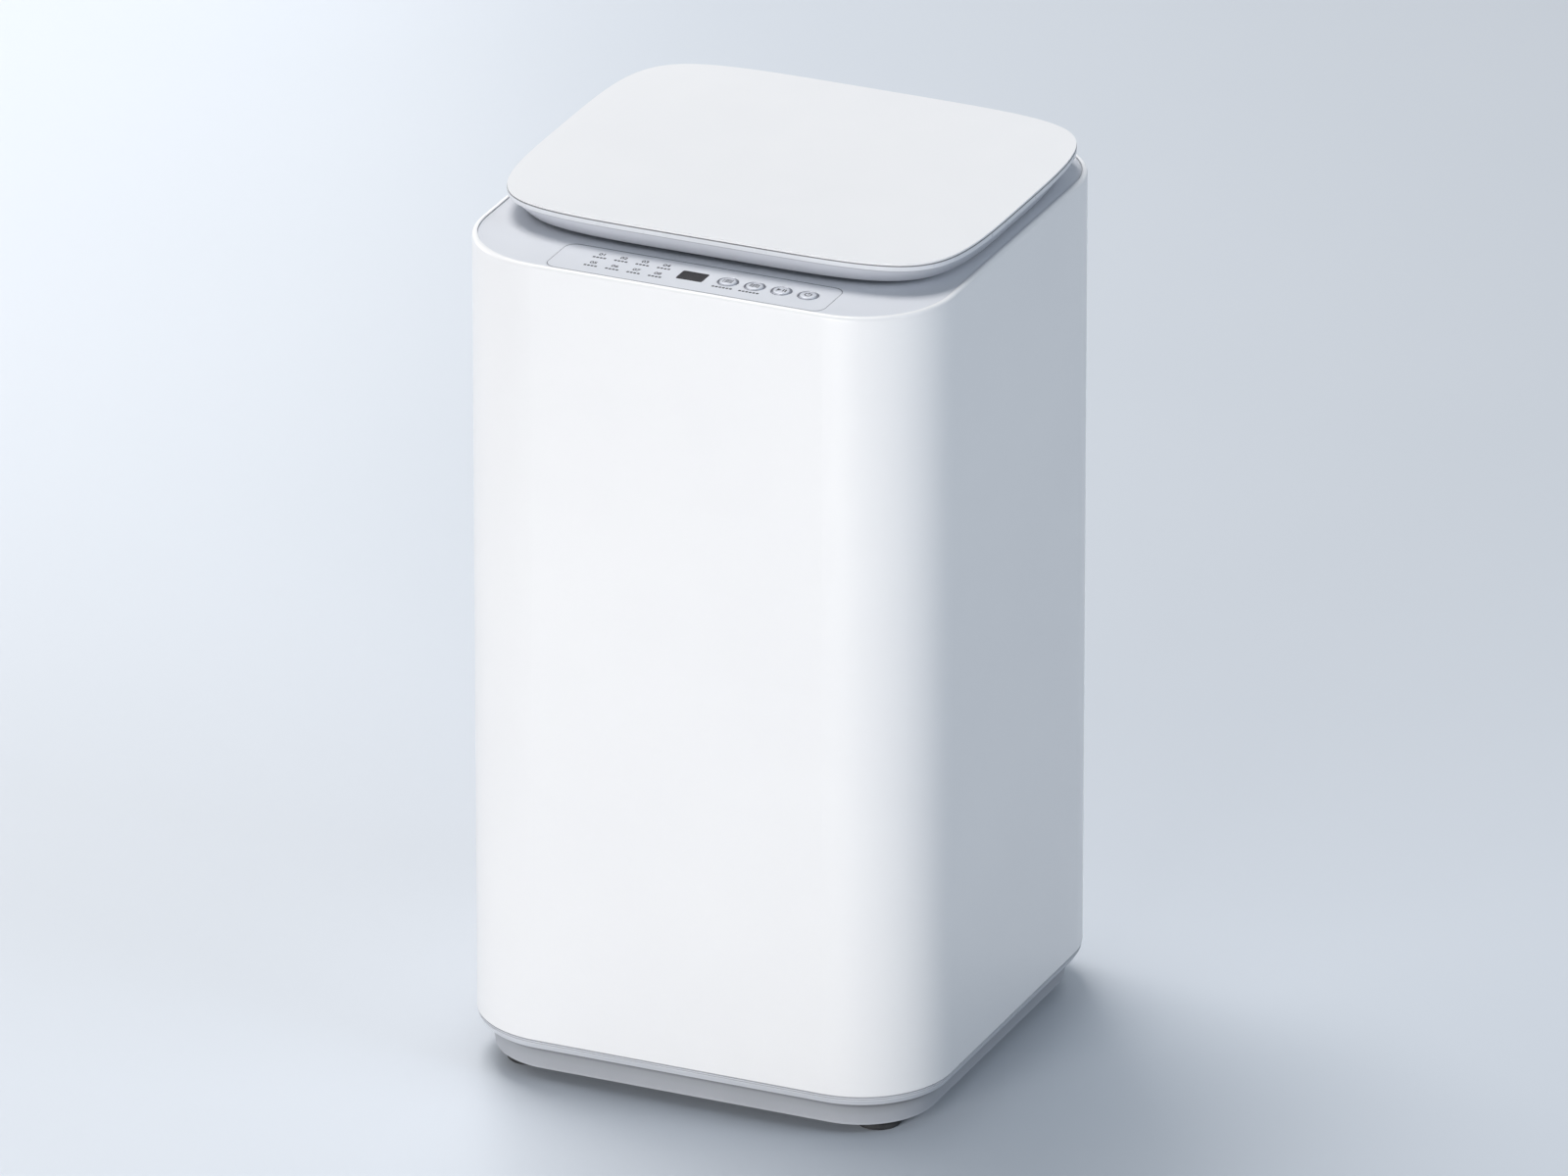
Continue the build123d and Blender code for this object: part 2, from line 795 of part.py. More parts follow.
# Control overlay: a thin printed panel, flush with the deck
with BuildPart() as control_overlay:
    with BuildSketch(Plane.XY.offset(deck_top - overlay_thickness)):
        with Locations((overlay_x, overlay_y)):
            RectangleRounded(overlay_width, overlay_depth, overlay_corner)
        with Locations(*button_points):
            Circle(button_ring_radius + fit_gap, mode=Mode.SUBTRACT)
        with Locations((display_x, display_y)):
            RectangleRounded(
                display_width + 2 * fit_gap,
                display_depth + 2 * fit_gap,
                display_corner + fit_gap,
                mode=Mode.SUBTRACT,
            )
    extrude(amount=overlay_thickness)
control_overlay.part.label = "control_overlay"
export_step(control_overlay.part, "parts/control_overlay.step")

# Display window: smoked acrylic, flush with the panel
with BuildPart() as display_window:
    with BuildSketch(Plane.XY.offset(deck_top - display_thickness)):
        with Locations((display_x, display_y)):
            RectangleRounded(display_width, display_depth, display_corner)
    extrude(amount=display_thickness)
display_window.part.label = "display_window"
export_step(display_window.part, "parts/display_window.step")

# Button rings: four bright bezels that stand a little above the panel
with BuildPart() as button_rings:
    upright_ring(
        button_points,
        button_ring_radius,
        button_ring_radius - button_ring_wall,
        deck_top - overlay_thickness,
        deck_top + button_ring_rise,
    )
button_rings.part.label = "button_rings"
export_step(button_rings.part, "parts/button_rings.step")

# Button caps: a round cap in its ring, kept from falling out by a flange under the deck
for button_name, button_point in zip(button_names, button_points):
    with BuildPart() as button:
        flange_top = deck_underside - fit_gap
        upright([button_point], button_cap_radius, flange_top, deck_top + button_rise)
        fillet(button.faces().sort_by(Axis.Z)[-1].edges(), button_edge)
        upright(
            [button_point], button_flange_radius, flange_top - button_flange_thickness, flange_top
        )
        upright([button_point], button_stem_radius, button_stem_bottom, flange_top)
    button.part.label = button_name
    export_step(button.part, f"parts/{button_name}.step")

# Control board: the circuit board with a switch under each cap and the display block
with BuildPart() as control_board:
    block(
        board_left, board_right, board_front, board_back, board_level,
        board_level + board_thickness,
    )
    with BuildSketch(Plane.XY.offset(board_level + board_thickness)):
        with Locations(*button_points):
            Rectangle(switch_size, switch_size)
    extrude(amount=switch_height)
    with BuildSketch(Plane.XY.offset(board_level + board_thickness)):
        with Locations((display_x, display_y)):
            Rectangle(display_width, display_depth)
    extrude(amount=deck_underside - board_level - board_thickness)
control_board.part.label = "control_board"
export_step(control_board.part, "parts/control_board.step")

# Lid tray: a shallow bowl under the lid, with bosses, hinge pockets and hinge lugs
pocket_half = hinge_lug_width / 2 + free_gap + hinge_ear_width + hinge_pocket_side
with BuildPart() as lid_underside:
    with BuildSketch(lid_plane(lid_bottom)):
        lid_outline(lid_tray_inset, lid_tray_handle)
    with BuildSketch(lid_plane(lid_band_bottom)):
        lid_outline(lid_tray_lip)
    loft(ruled=True)
    with BuildSketch(lid_plane(lid_bottom + lid_wall)):
        lid_outline(lid_tray_inset + lid_wall, lid_tray_handle)
    with BuildSketch(lid_plane(lid_band_bottom)):
        lid_outline(lid_tray_lip + lid_wall)
    loft(ruled=True, mode=Mode.SUBTRACT)
    lid_bosses = [
        (sx * lid_boss_x, lid_center_y + sy * lid_boss_y) for sx in (-1, 1) for sy in (-1, 1)
    ]
    upright(lid_bosses, lid_boss_radius, lid_bottom, lid_panel_bottom)
    for side in (-1, 1):
        pocket_x_from = side * hinge_x - pocket_half
        pocket_x_to = side * hinge_x + pocket_half
        block(
            pocket_x_from - lid_wall,
            pocket_x_to + lid_wall,
            hinge_y - hinge_pocket_reach - lid_wall,
            lid_center_y + lid_depth / 2 - lid_tray_lip - lid_wall,
            lid_bottom,
            lid_band_bottom,
        )
        block(
            pocket_x_from,
            pocket_x_to,
            hinge_y - hinge_pocket_reach,
            lid_center_y + lid_depth / 2,
            lid_bottom,
            hinge_z + hinge_pocket_rise,
            mode=Mode.SUBTRACT,
        )
        lug_from = side * hinge_x - hinge_lug_width / 2
        lug_to = side * hinge_x + hinge_lug_width / 2
        block(
            lug_from,
            lug_to,
            hinge_y - hinge_pocket_reach,
            hinge_y,
            hinge_z - hinge_ear_radius,
            hinge_z + hinge_pocket_rise,
        )
        with BuildSketch(Plane.YZ.offset(lug_from)):
            with Locations((hinge_y, hinge_z)):
                Circle(hinge_ear_radius)
        extrude(amount=hinge_lug_width)
        with BuildSketch(Plane.YZ.offset(lug_from)):
            with Locations((hinge_y, hinge_z)):
                Circle(hinge_pin_radius + shaft_gap)
        extrude(amount=hinge_lug_width, mode=Mode.SUBTRACT)
lid_underside.part.label = "lid_underside"
export_step(lid_underside.part, "parts/lid_underside.step")

# Lid rim band: a ring round the lid, with a fine seam under the panel's edge
with BuildPart() as lid_rim_band:
    with BuildSketch(lid_plane(lid_band_bottom)):
        lid_outline(0)
        lid_outline(lid_band_width, mode=Mode.SUBTRACT)
    extrude(amount=lid_panel_bottom - lid_seam_height - lid_band_bottom)
    with BuildSketch(lid_plane(lid_panel_bottom - lid_seam_height)):
        lid_outline(lid_seam_depth)
        lid_outline(lid_band_width, mode=Mode.SUBTRACT)
    extrude(amount=lid_seam_height)
lid_rim_band.part.label = "lid_rim_band"
export_step(lid_rim_band.part, "parts/lid_rim_band.step")

# Lid panel: a thin sheet with a slight crown, cut from a large sphere
lid_half_diagonal = hypot(lid_width, lid_depth) / 2
crown_radius = (lid_half_diagonal ** 2 + lid_crown ** 2) / (2 * lid_crown)
crown_ball = Pos(0, lid_center_y, lid_edge_top + lid_crown - crown_radius) * Sphere(crown_radius)
with BuildPart() as lid_top_panel:
    with BuildSketch(lid_plane(lid_panel_bottom)):
        lid_outline(lid_panel_seam)
    extrude(amount=lid_panel_thickness + lid_crown)
    add(crown_ball, mode=Mode.INTERSECT)
lid_top_panel.part.label = "lid_top_panel"
export_step(lid_top_panel.part, "parts/lid_top_panel.step")

# Hinge pins: one steel pin through each pair of ears and the lug between them
hinge_pin_half = ear_offset + hinge_ear_width / 2 + hinge_pin_overhang
for side, side_name in ((-1, "left"), (1, "right")):
    with BuildPart() as hinge_pin:
        with BuildSketch(Plane.YZ.offset(side * hinge_x - hinge_pin_half)):
            with Locations((hinge_y, hinge_z)):
                Circle(hinge_pin_radius)
        extrude(amount=2 * hinge_pin_half)
    hinge_pin.part.label = f"lid_hinge_pin_{side_name}"
    export_step(hinge_pin.part, f"parts/lid_hinge_pin_{side_name}.step")

# Back cover: a flush panel with two service pockets, a gland hole and vent slots
inlet_point = (-pocket_x, inlet_z)
outlet_point = (pocket_x, outlet_z)
gland_point = (-pocket_x, outlet_z)
pocket_points = [inlet_point, outlet_point]
nipple_root = pocket_floor_y + pocket_wall
nipple_end = nipple_root + service_nipple_length
with BuildPart() as back_cover:
    with BuildSketch(Plane.XZ.offset(-cover_face)):
        with Locations(service_center):
            RectangleRounded(service_width, service_height, service_corner - free_gap)
    extrude(amount=cover_thickness)
    rearward(pocket_points, pocket_radius + pocket_wall, pocket_floor_y, cover_face)
    rearward(
        pocket_points, pocket_radius, nipple_root, cover_face, mode=Mode.SUBTRACT
    )
    rearward(
        [inlet_point],
        inlet_shoulder_radius + free_gap,
        pocket_floor_y,
        nipple_root,
        mode=Mode.SUBTRACT,
    )
    rearward(
        [outlet_point],
        outlet_radius + free_gap,
        pocket_floor_y,
        nipple_root,
        mode=Mode.SUBTRACT,
    )
    rearward(
        [gland_point], gland_radius + shaft_gap, cover_face - cover_thickness, cover_face,
        mode=Mode.SUBTRACT,
    )
    rearward(
        service_screws, screw_shank_radius + fit_gap, cover_face - cover_thickness, cover_face,
        mode=Mode.SUBTRACT,
    )
    rearward(
        service_screws, screw_head_radius + fit_gap, cover_face - screw_head_height, cover_face,
        mode=Mode.SUBTRACT,
    )
    with BuildSketch(Plane.XZ.offset(-cover_face)):
        with Locations((0, vent_z)):
            with GridLocations(vent_pitch, 1, vent_count, 1):
                SlotOverall(vent_slot_height, vent_slot_width, rotation=90)
    extrude(amount=cover_thickness, mode=Mode.SUBTRACT)
back_cover.part.label = "back_cover"
export_step(back_cover.part, "parts/back_cover.step")

# Screws that hold the back cover to the frame
with BuildPart() as back_cover_screws:
    rearward(service_screws, screw_head_radius, cover_face - screw_head_height, cover_face)
    rearward(
        service_screws, screw_shank_radius, cover_face - screw_length,
        cover_face - screw_head_height,
    )
    with BuildSketch(Plane.XZ.offset(-cover_face)):
        with Locations(*service_screws):
            Rectangle(screw_recess_length, screw_recess_width)
            Rectangle(screw_recess_width, screw_recess_length)
    extrude(amount=screw_recess_depth, mode=Mode.SUBTRACT)
back_cover_screws.part.label = "back_cover_screws"
export_step(back_cover_screws.part, "parts/back_cover_screws.step")

# Cord gland: the grommet that the power cord would pass through
with BuildPart() as cord_gland:
    gland_outer = cover_face + gland_flange_thickness
    rearward([gland_point], gland_flange_radius, cover_face, gland_outer)
    rearward([gland_point], gland_radius, gland_outer - gland_length, cover_face)
    rearward(
        [gland_point], gland_bore_radius, gland_outer - gland_length, gland_outer,
        mode=Mode.SUBTRACT,
    )
cord_gland.part.label = "cord_gland"
export_step(cord_gland.part, "parts/cord_gland.step")

# Inlet valve: the hose nipple in its pocket, the valve body, its coil and the water spout
with BuildPart() as inlet_valve:
    rearward([inlet_point], inlet_nipple_radius, nipple_root, nipple_end)
    rearward([inlet_point], inlet_shoulder_radius, pocket_floor_y, nipple_root)
    rearward([inlet_point], valve_body_radius, valve_body_front, pocket_floor_y)
    block(
        -pocket_x - valve_coil_width / 2, -pocket_x + valve_coil_width / 2,
        valve_body_front + valve_coil_front, pocket_floor_y - valve_coil_back,
        inlet_z, inlet_z + valve_body_radius + valve_coil_rise,
    )
    rearward([inlet_point], spout_radius, spout_front, valve_body_front)
    bore_floor = valve_body_front + valve_bore_floor
    rearward([inlet_point], inlet_bore_radius, bore_floor, nipple_end, mode=Mode.SUBTRACT)
    rearward([inlet_point], spout_bore_radius, spout_front, bore_floor, mode=Mode.SUBTRACT)
inlet_valve.part.label = "inlet_valve"
export_step(inlet_valve.part, "parts/inlet_valve.step")

# Outer tub: a round tank with four ears on its rods, a hub hole, drain spigot and air bell
rod_reach = hypot(rod_x, rod_reach_y)
with BuildPart() as outer_tub:
    upright([(0, tub_y)], tub_radius, tub_bottom, tub_top)
    upright([(0, tub_y)], tub_flange_radius, tub_top - tub_flange_height, tub_top)
    for rod_point in rod_points:
        inward = 1 - (tub_radius - tub_ear_radius) / rod_reach
        wall_point = (rod_point[0] * (1 - inward), tub_y + (rod_point[1] - tub_y) * (1 - inward))
        with BuildSketch(Plane.XY.offset(tub_ear_bottom)):
            with Locations(rod_point, wall_point):
                Circle(tub_ear_radius)
            make_hull()
        extrude(amount=tub_ear_height)
    block(
        tub_inner_radius,
        bell_reach,
        tub_y - bell_width / 2,
        tub_y + bell_width / 2,
        bell_top - bell_height,
        bell_top,
    )
    upright([(0, tub_y)], tub_inner_radius, tub_floor_top, tub_top, mode=Mode.SUBTRACT)
    upright(
        rod_points, rod_hole_radius, tub_ear_bottom, tub_ear_bottom + tub_ear_height,
        mode=Mode.SUBTRACT,
    )
    tub_feet = [
        (x, tub_y + side * tub_foot_ring)
        for x in (motor_x, bracket_plate_right - 2 * tub_foot_radius)
        for side in (-1, 1)
    ]
    upright(tub_feet, tub_foot_radius, bracket_plate_top, tub_bottom)
    upright(
        [(0, tub_y)], housing_neck_radius + fit_gap, tub_bottom, tub_floor_top, mode=Mode.SUBTRACT
    )
    upright(
        [(pump_x, pump_y)], hose_radius - hose_wall, tub_bottom - drain_spigot_length, tub_bottom
    )
    upright(
        [(pump_x, pump_y)],
        pump_neck_bore,
        tub_bottom - drain_spigot_length,
        tub_floor_top,
        mode=Mode.SUBTRACT,
    )
outer_tub.part.label = "outer_tub"
export_step(outer_tub.part, "parts/outer_tub.step")

# Tub cover: a ring on the tub's flange with a lip that keeps splashes in
with BuildPart() as tub_cover:
    upright_ring(
        [(0, tub_y)], tub_flange_radius, cover_ring_inner, tub_top, tub_top + cover_ring_thickness
    )
    upright_ring(
        [(0, tub_y)],
        cover_ring_inner + cover_ring_lip,
        cover_ring_inner,
        tub_top + cover_ring_thickness,
        cover_ring_top,
    )
tub_cover.part.label = "tub_cover"
export_step(tub_cover.part, "parts/tub_cover.step")

# Suspension: a ball seat on each bracket, a rod through it, a cup on the rod's end and a spring
with BuildPart() as suspension_seats:
    upright_ring(
        rod_points, seat_radius, rod_radius + shaft_gap, bracket_top, bracket_top + seat_height
    )
suspension_seats.part.label = "suspension_seats"
export_step(suspension_seats.part, "parts/suspension_seats.step")

with BuildPart() as suspension_rods:
    rod_shoulder = bracket_top + seat_height
    upright(rod_points, rod_radius, rod_bottom, rod_shoulder)
    upright(rod_points, rod_head_radius, rod_shoulder, rod_shoulder + rod_head_height)
    upright(rod_points, rod_head_radius, rod_bottom, cup_bottom)
suspension_rods.part.label = "suspension_rods"
export_step(suspension_rods.part, "parts/suspension_rods.step")

with BuildPart() as suspension_cups:
    upright_ring(
        rod_points, cup_radius, rod_radius + shaft_gap, cup_bottom, cup_bottom + cup_height
    )
suspension_cups.part.label = "suspension_cups"
export_step(suspension_cups.part, "parts/suspension_cups.step")

with BuildPart() as suspension_springs:
    upright_ring(
        rod_points, spring_radius, spring_radius - spring_wire, cup_bottom + cup_height,
        tub_ear_bottom,
    )
suspension_springs.part.label = "suspension_springs"
export_step(suspension_springs.part, "parts/suspension_springs.step")

# Basket: a thin steel drum with a rounded foot and rows of drain holes
with BuildPart() as basket:
    upright([(0, tub_y)], basket_radius, basket_bottom, basket_top)
    fillet(basket.faces().sort_by(Axis.Z)[0].edges(), basket_round)
    offset(amount=-basket_wall, openings=basket.faces().sort_by(Axis.Z)[-1])
    upright(
        [(0, tub_y)], pulsator_shaft_radius + fit_gap, basket_bottom,
        basket_bottom + basket_wall, mode=Mode.SUBTRACT,
    )
    for row in range(hole_rows):
        for column in range(hole_columns // 2):
            turn = (column + 0.5 * (row % 2)) * 360 / hole_columns
            hole_z = hole_first_z + row * hole_pitch_z
            hole_plane = Plane(
                (0, tub_y, hole_z), x_dir=(0, 0, 1), z_dir=(cos(radians(turn)), sin(radians(turn)), 0)
            )
            with BuildSketch(hole_plane):
                Circle(hole_radius)
            extrude(amount=basket_radius + 1, both=True, mode=Mode.SUBTRACT)
basket.part.label = "basket"
export_step(basket.part, "parts/basket.step")

# Balance ring: a sealed ring of salt water inside the basket's mouth
with BuildPart() as balance_ring:
    upright_ring(
        [(0, tub_y)],
        basket_radius - basket_wall - fit_gap,
        balance_inner,
        balance_bottom,
        balance_bottom + balance_height,
    )
balance_ring.part.label = "balance_ring"
export_step(balance_ring.part, "parts/balance_ring.step")

# Spin shaft: a hollow shaft whose top flange carries the basket
with BuildPart() as spin_shaft:
    upright([(0, tub_y)], spin_shaft_radius, spin_shaft_bottom, basket_bottom)
    upright(
        [(0, tub_y)], spin_flange_radius, basket_bottom - spin_flange_thickness, basket_bottom
    )
    upright(
        [(0, tub_y)], pulsator_shaft_radius + shaft_gap, spin_shaft_bottom, basket_bottom,
        mode=Mode.SUBTRACT,
    )
spin_shaft.part.label = "spin_shaft"
export_step(spin_shaft.part, "parts/spin_shaft.step")

# Clutch drum: locks the spin shaft to the pulley for spinning, and brakes it
with BuildPart() as clutch_drum:
    upright_ring(
        [(0, tub_y)],
        clutch_radius,
        spin_shaft_radius + shaft_gap,
        clutch_bottom,
        clutch_bottom + clutch_height,
    )
clutch_drum.part.label = "clutch_drum"
export_step(clutch_drum.part, "parts/clutch_drum.step")

# Bearing housing: a cast sleeve under the tub, with a bearing at each end and the seal on top
with BuildPart() as bearing_housing:
    bearing_bore = bearing_radius + shaft_gap
    flange_bottom = bracket_plate_bottom - housing_flange_height
    turned(
        [
            (bearing_bore, housing_bottom),
            (housing_radius, housing_bottom),
            (housing_radius, flange_bottom),
            (housing_flange_radius, flange_bottom),
            (housing_flange_radius, bracket_plate_bottom),
            (housing_neck_radius, bracket_plate_bottom),
            (housing_neck_radius, housing_neck_top),
            (bearing_bore, housing_neck_top),
            (bearing_bore, upper_bearing_bottom),
            (housing_bore_radius, upper_bearing_bottom),
            (housing_bore_radius, lower_bearing_bottom + bearing_height),
            (bearing_bore, lower_bearing_bottom + bearing_height),
        ],
        center_y=tub_y,
    )
bearing_housing.part.label = "bearing_housing"
export_step(bearing_housing.part, "parts/bearing_housing.step")

for bearing_name, bearing_bottom in (
    ("upper_bearing", upper_bearing_bottom),
    ("lower_bearing", lower_bearing_bottom),
):
    with BuildPart() as bearing:
        upright_ring(
            [(0, tub_y)],
            bearing_radius,
            spin_shaft_radius + shaft_gap,
            bearing_bottom,
            bearing_bottom + bearing_height,
        )
    bearing.part.label = bearing_name
    export_step(bearing.part, f"parts/{bearing_name}.step")

with BuildPart() as shaft_seal:
    upright_ring(
        [(0, tub_y)],
        bearing_radius,
        spin_shaft_radius + shaft_gap,
        seal_bottom,
        seal_bottom + seal_height,
    )
shaft_seal.part.label = "shaft_seal"
export_step(shaft_seal.part, "parts/shaft_seal.step")

# Drive bracket: a steel plate under the tub that carries the bearing housing and the motor
with BuildPart() as drive_bracket:
    plate_left = motor_x - motor_radius
    with BuildSketch(Plane.XY.offset(bracket_plate_bottom)):
        with Locations(((plate_left + bracket_plate_right) / 2, tub_y)):
            RectangleRounded(
                bracket_plate_right - plate_left, bracket_plate_width, bracket_plate_corner
            )
        with Locations((0, tub_y)):
            Circle(housing_neck_radius + fit_gap, mode=Mode.SUBTRACT)
    extrude(amount=bracket_plate_thickness)
drive_bracket.part.label = "drive_bracket"
export_step(drive_bracket.part, "parts/drive_bracket.step")

# Pulsator: a ribbed disc in the basket's floor
with BuildPart() as pulsator:
    pulsator_top = pulsator_bottom + pulsator_thickness
    upright([(0, tub_y)], pulsator_radius, pulsator_bottom, pulsator_top)
    with BuildSketch(Plane.XY.offset(pulsator_top)):
        for vane in range(vane_count):
            with Locations(Pos(0, tub_y) * Rot(0, 0, vane * 360 / vane_count)):
                with Locations(((vane_inner + vane_outer) / 2, 0)):
                    SlotOverall(vane_outer - vane_inner, vane_width)
    extrude(amount=vane_height)
    upright(
        [(0, tub_y)], pulsator_shaft_radius + shaft_gap, pulsator_bottom,
        pulsator_bottom + pulsator_thickness / 2, mode=Mode.SUBTRACT,
    )
    upright(
        [(0, tub_y)], screw_head_radius, pulsator_bottom, pulsator_top, mode=Mode.SUBTRACT
    )
pulsator.part.label = "pulsator"
export_step(pulsator.part, "parts/pulsator.step")

# Pulsator shaft: runs up through the spin shaft
with BuildPart() as pulsator_shaft:
    upright(
        [(0, tub_y)], pulsator_shaft_radius, pulsator_shaft_bottom,
        pulsator_bottom + pulsator_thickness / 2,
    )
    upright(
        [(0, tub_y)],
        screw_shank_radius + shaft_gap,
        pulsator_bottom - pulsator_screw_hole,
        pulsator_bottom + pulsator_thickness / 2,
        mode=Mode.SUBTRACT,
    )
pulsator_shaft.part.label = "pulsator_shaft"
export_step(pulsator_shaft.part, "parts/pulsator_shaft.step")

# Pulsator screw: holds the pulsator down on its shaft, inside the brush core
with BuildPart() as pulsator_screw:
    screw_tip = pulsator_bottom - pulsator_screw_length
    screw_head_top = pulsator_top + pulsator_screw_head
    upright([(0, tub_y)], screw_shank_radius, screw_tip, pulsator_top)
    upright([(0, tub_y)], 2 * screw_head_radius, pulsator_top, screw_head_top)
pulsator_screw.part.label = "pulsator_screw"
export_step(pulsator_screw.part, "parts/pulsator_screw.step")

# Brush core: a hollow post on the pulsator with a wide foot and a rounded cap
with BuildPart() as brush_core:
    upright([(0, tub_y)], brush_base_radius, pulsator_top, pulsator_top + brush_base_height)
    upright([(0, tub_y)], brush_core_radius, pulsator_top, brush_top)
    upright([(0, tub_y)], brush_cap_radius, brush_top, brush_top + brush_cap_height)
    fillet(brush_core.faces().sort_by(Axis.Z)[-1].edges(), brush_cap_height / 2)
    upright(
        [(0, tub_y)], brush_core_radius - brush_core_wall, pulsator_top, brush_top,
        mode=Mode.SUBTRACT,
    )
brush_core.part.label = "brush_core"
export_step(brush_core.part, "parts/brush_core.step")

# Brush bristles: the soft sleeve of bristles round the core
with BuildPart() as brush_bristles:
    upright_ring(
        [(0, tub_y)], bristle_radius, brush_core_radius + free_gap, bristle_bottom,
        brush_top - free_gap,
    )
brush_bristles.part.label = "brush_bristles"
export_step(brush_bristles.part, "parts/brush_bristles.step")


def belt_pulley(center, seat_radius, hub_radius, bore_radius, hub_height):
    """A flanged belt pulley with a hub on its upper side."""
    flange_radius = seat_radius + pulley_flange_reach
    upright([center], seat_radius, pulley_bottom, pulley_bottom + pulley_height)
    upright([center], flange_radius, pulley_bottom, pulley_bottom + pulley_flange_height)
    upright(
        [center],
        flange_radius,
        pulley_bottom + pulley_height - pulley_flange_height,
        pulley_bottom + pulley_height,
    )
    upright([center], hub_radius, pulley_bottom, pulley_bottom + pulley_height + hub_height)
    upright(
        [center], bore_radius, pulley_bottom, pulley_bottom + pulley_height + hub_height,
        mode=Mode.SUBTRACT,
    )


# Pulleys and belt: the motor turns the pulsator shaft through a flat belt
with BuildPart() as drive_pulley:
    belt_pulley(
        (0, tub_y), drive_seat_radius, drive_hub_radius, pulsator_shaft_radius + shaft_gap,
        pulley_hub_height,
    )
drive_pulley.part.label = "drive_pulley"
export_step(drive_pulley.part, "parts/drive_pulley.step")

with BuildPart() as motor_pulley:
    belt_pulley(
        (motor_x, tub_y), motor_seat_radius, motor_shaft_radius + motor_hub_wall,
        motor_shaft_radius + shaft_gap, pulley_hub_height,
    )
motor_pulley.part.label = "motor_pulley"
export_step(motor_pulley.part, "parts/motor_pulley.step")


def belt_loop(reach, mode=Mode.ADD):
    """The belt's oval path round both pulleys, at a distance from their seats."""
    with BuildSketch(Plane.XY.offset(pulley_bottom + pulley_flange_height + belt_side_gap)) as profile:
        with Locations((0, tub_y)):
            Circle(drive_seat_radius + reach)
        with Locations((motor_x, tub_y)):
            Circle(motor_seat_radius + reach)
        make_hull()
    belt_width = pulley_height - 2 * pulley_flange_height - 2 * belt_side_gap
    extrude(profile.sketch, amount=belt_width, mode=mode)


with BuildPart() as drive_belt:
    belt_loop(free_gap + belt_thickness)
    belt_loop(free_gap, mode=Mode.SUBTRACT)
drive_belt.part.label = "drive_belt"
export_step(drive_belt.part, "parts/drive_belt.step")

# Motor: a drawn shell under the bracket, its windings, and the rotor on its shaft
motor_top = bracket_plate_bottom
with BuildPart() as motor_housing:
    upright([(motor_x, tub_y)], motor_radius, motor_bottom, motor_top)
    upright(
        [(motor_x, tub_y)], motor_radius - motor_shell, motor_bottom + motor_shell,
        motor_top - motor_shell, mode=Mode.SUBTRACT,
    )
    upright(
        [(motor_x, tub_y)], motor_shaft_radius + shaft_gap, motor_bottom, motor_top,
        mode=Mode.SUBTRACT,
    )
motor_housing.part.label = "motor_housing"
export_step(motor_housing.part, "parts/motor_housing.step")

with BuildPart() as motor_windings:
    upright_ring(
        [(motor_x, tub_y)],
        motor_radius - motor_shell - fit_gap,
        winding_inner,
        motor_bottom + winding_inset,
        motor_top - winding_inset,
    )
motor_windings.part.label = "motor_windings"
export_step(motor_windings.part, "parts/motor_windings.step")

with BuildPart() as motor_rotor:
    upright([(motor_x, tub_y)], motor_shaft_radius, motor_shaft_bottom, motor_top - free_gap)
    upright(
        [(motor_x, tub_y)], rotor_radius, motor_bottom + rotor_inset, motor_top - rotor_inset
    )
motor_rotor.part.label = "motor_rotor"
export_step(motor_rotor.part, "parts/motor_rotor.step")

# Drain pump: its motor stands in the tray, with the volute, neck and side outlet above
volute_top = volute_bottom + volute_height
pump_center = (pump_x, pump_y)
with BuildPart() as drain_pump:
    upright([pump_center], pump_motor_radius, base_floor_top, volute_bottom)
    upright([pump_center], volute_radius, volute_bottom, volute_top)
    upright([pump_center], pump_neck_radius, volute_top, pump_neck_top)
    rearward([outlet_point], outlet_radius, pump_y, pump_outlet_end)
    upright(
        [pump_center],
        volute_radius - volute_wall,
        volute_bottom + volute_wall,
        volute_top - volute_wall,
        mode=Mode.SUBTRACT,
    )
    upright([pump_center], pump_neck_bore, volute_top - volute_wall, pump_neck_top,
            mode=Mode.SUBTRACT)
    rearward([outlet_point], outlet_bore_radius, pump_y, pump_outlet_end, mode=Mode.SUBTRACT)
    upright(
        [pump_center],
        impeller_shaft_radius + shaft_gap,
        volute_bottom - impeller_shaft_socket,
        volute_bottom + volute_wall,
        mode=Mode.SUBTRACT,
    )
drain_pump.part.label = "drain_pump"
export_step(drain_pump.part, "parts/drain_pump.step")

# Pump impeller: blades on a hub, on a short shaft down into the pump's motor
with BuildPart() as pump_impeller:
    impeller_bottom = volute_bottom + volute_wall + impeller_gap
    impeller_top = volute_top - volute_wall - impeller_gap
    upright([pump_center], impeller_hub_radius, impeller_bottom, impeller_top)
    with BuildSketch(Plane.XY.offset(impeller_bottom)):
        for blade in range(impeller_blades // 2):
            with Locations(Pos(pump_x, pump_y) * Rot(0, 0, blade * 360 / impeller_blades)):
                Rectangle(2 * impeller_radius, impeller_blade_width)
    extrude(amount=impeller_top - impeller_bottom)
    shaft_end = volute_bottom - impeller_shaft_length
    upright([pump_center], impeller_shaft_radius, shaft_end, impeller_bottom)
pump_impeller.part.label = "pump_impeller"
export_step(pump_impeller.part, "parts/pump_impeller.step")

# Outlet pipe: from the pump to the nipple in its rear pocket
with BuildPart() as outlet_pipe:
    rearward([outlet_point], outlet_radius, pump_outlet_end, nipple_root)
    rearward([outlet_point], outlet_nipple_radius, nipple_root, nipple_end)
    rearward([outlet_point], outlet_bore_radius, pump_outlet_end, nipple_end, mode=Mode.SUBTRACT)
outlet_pipe.part.label = "outlet_pipe"
export_step(outlet_pipe.part, "parts/outlet_pipe.step")

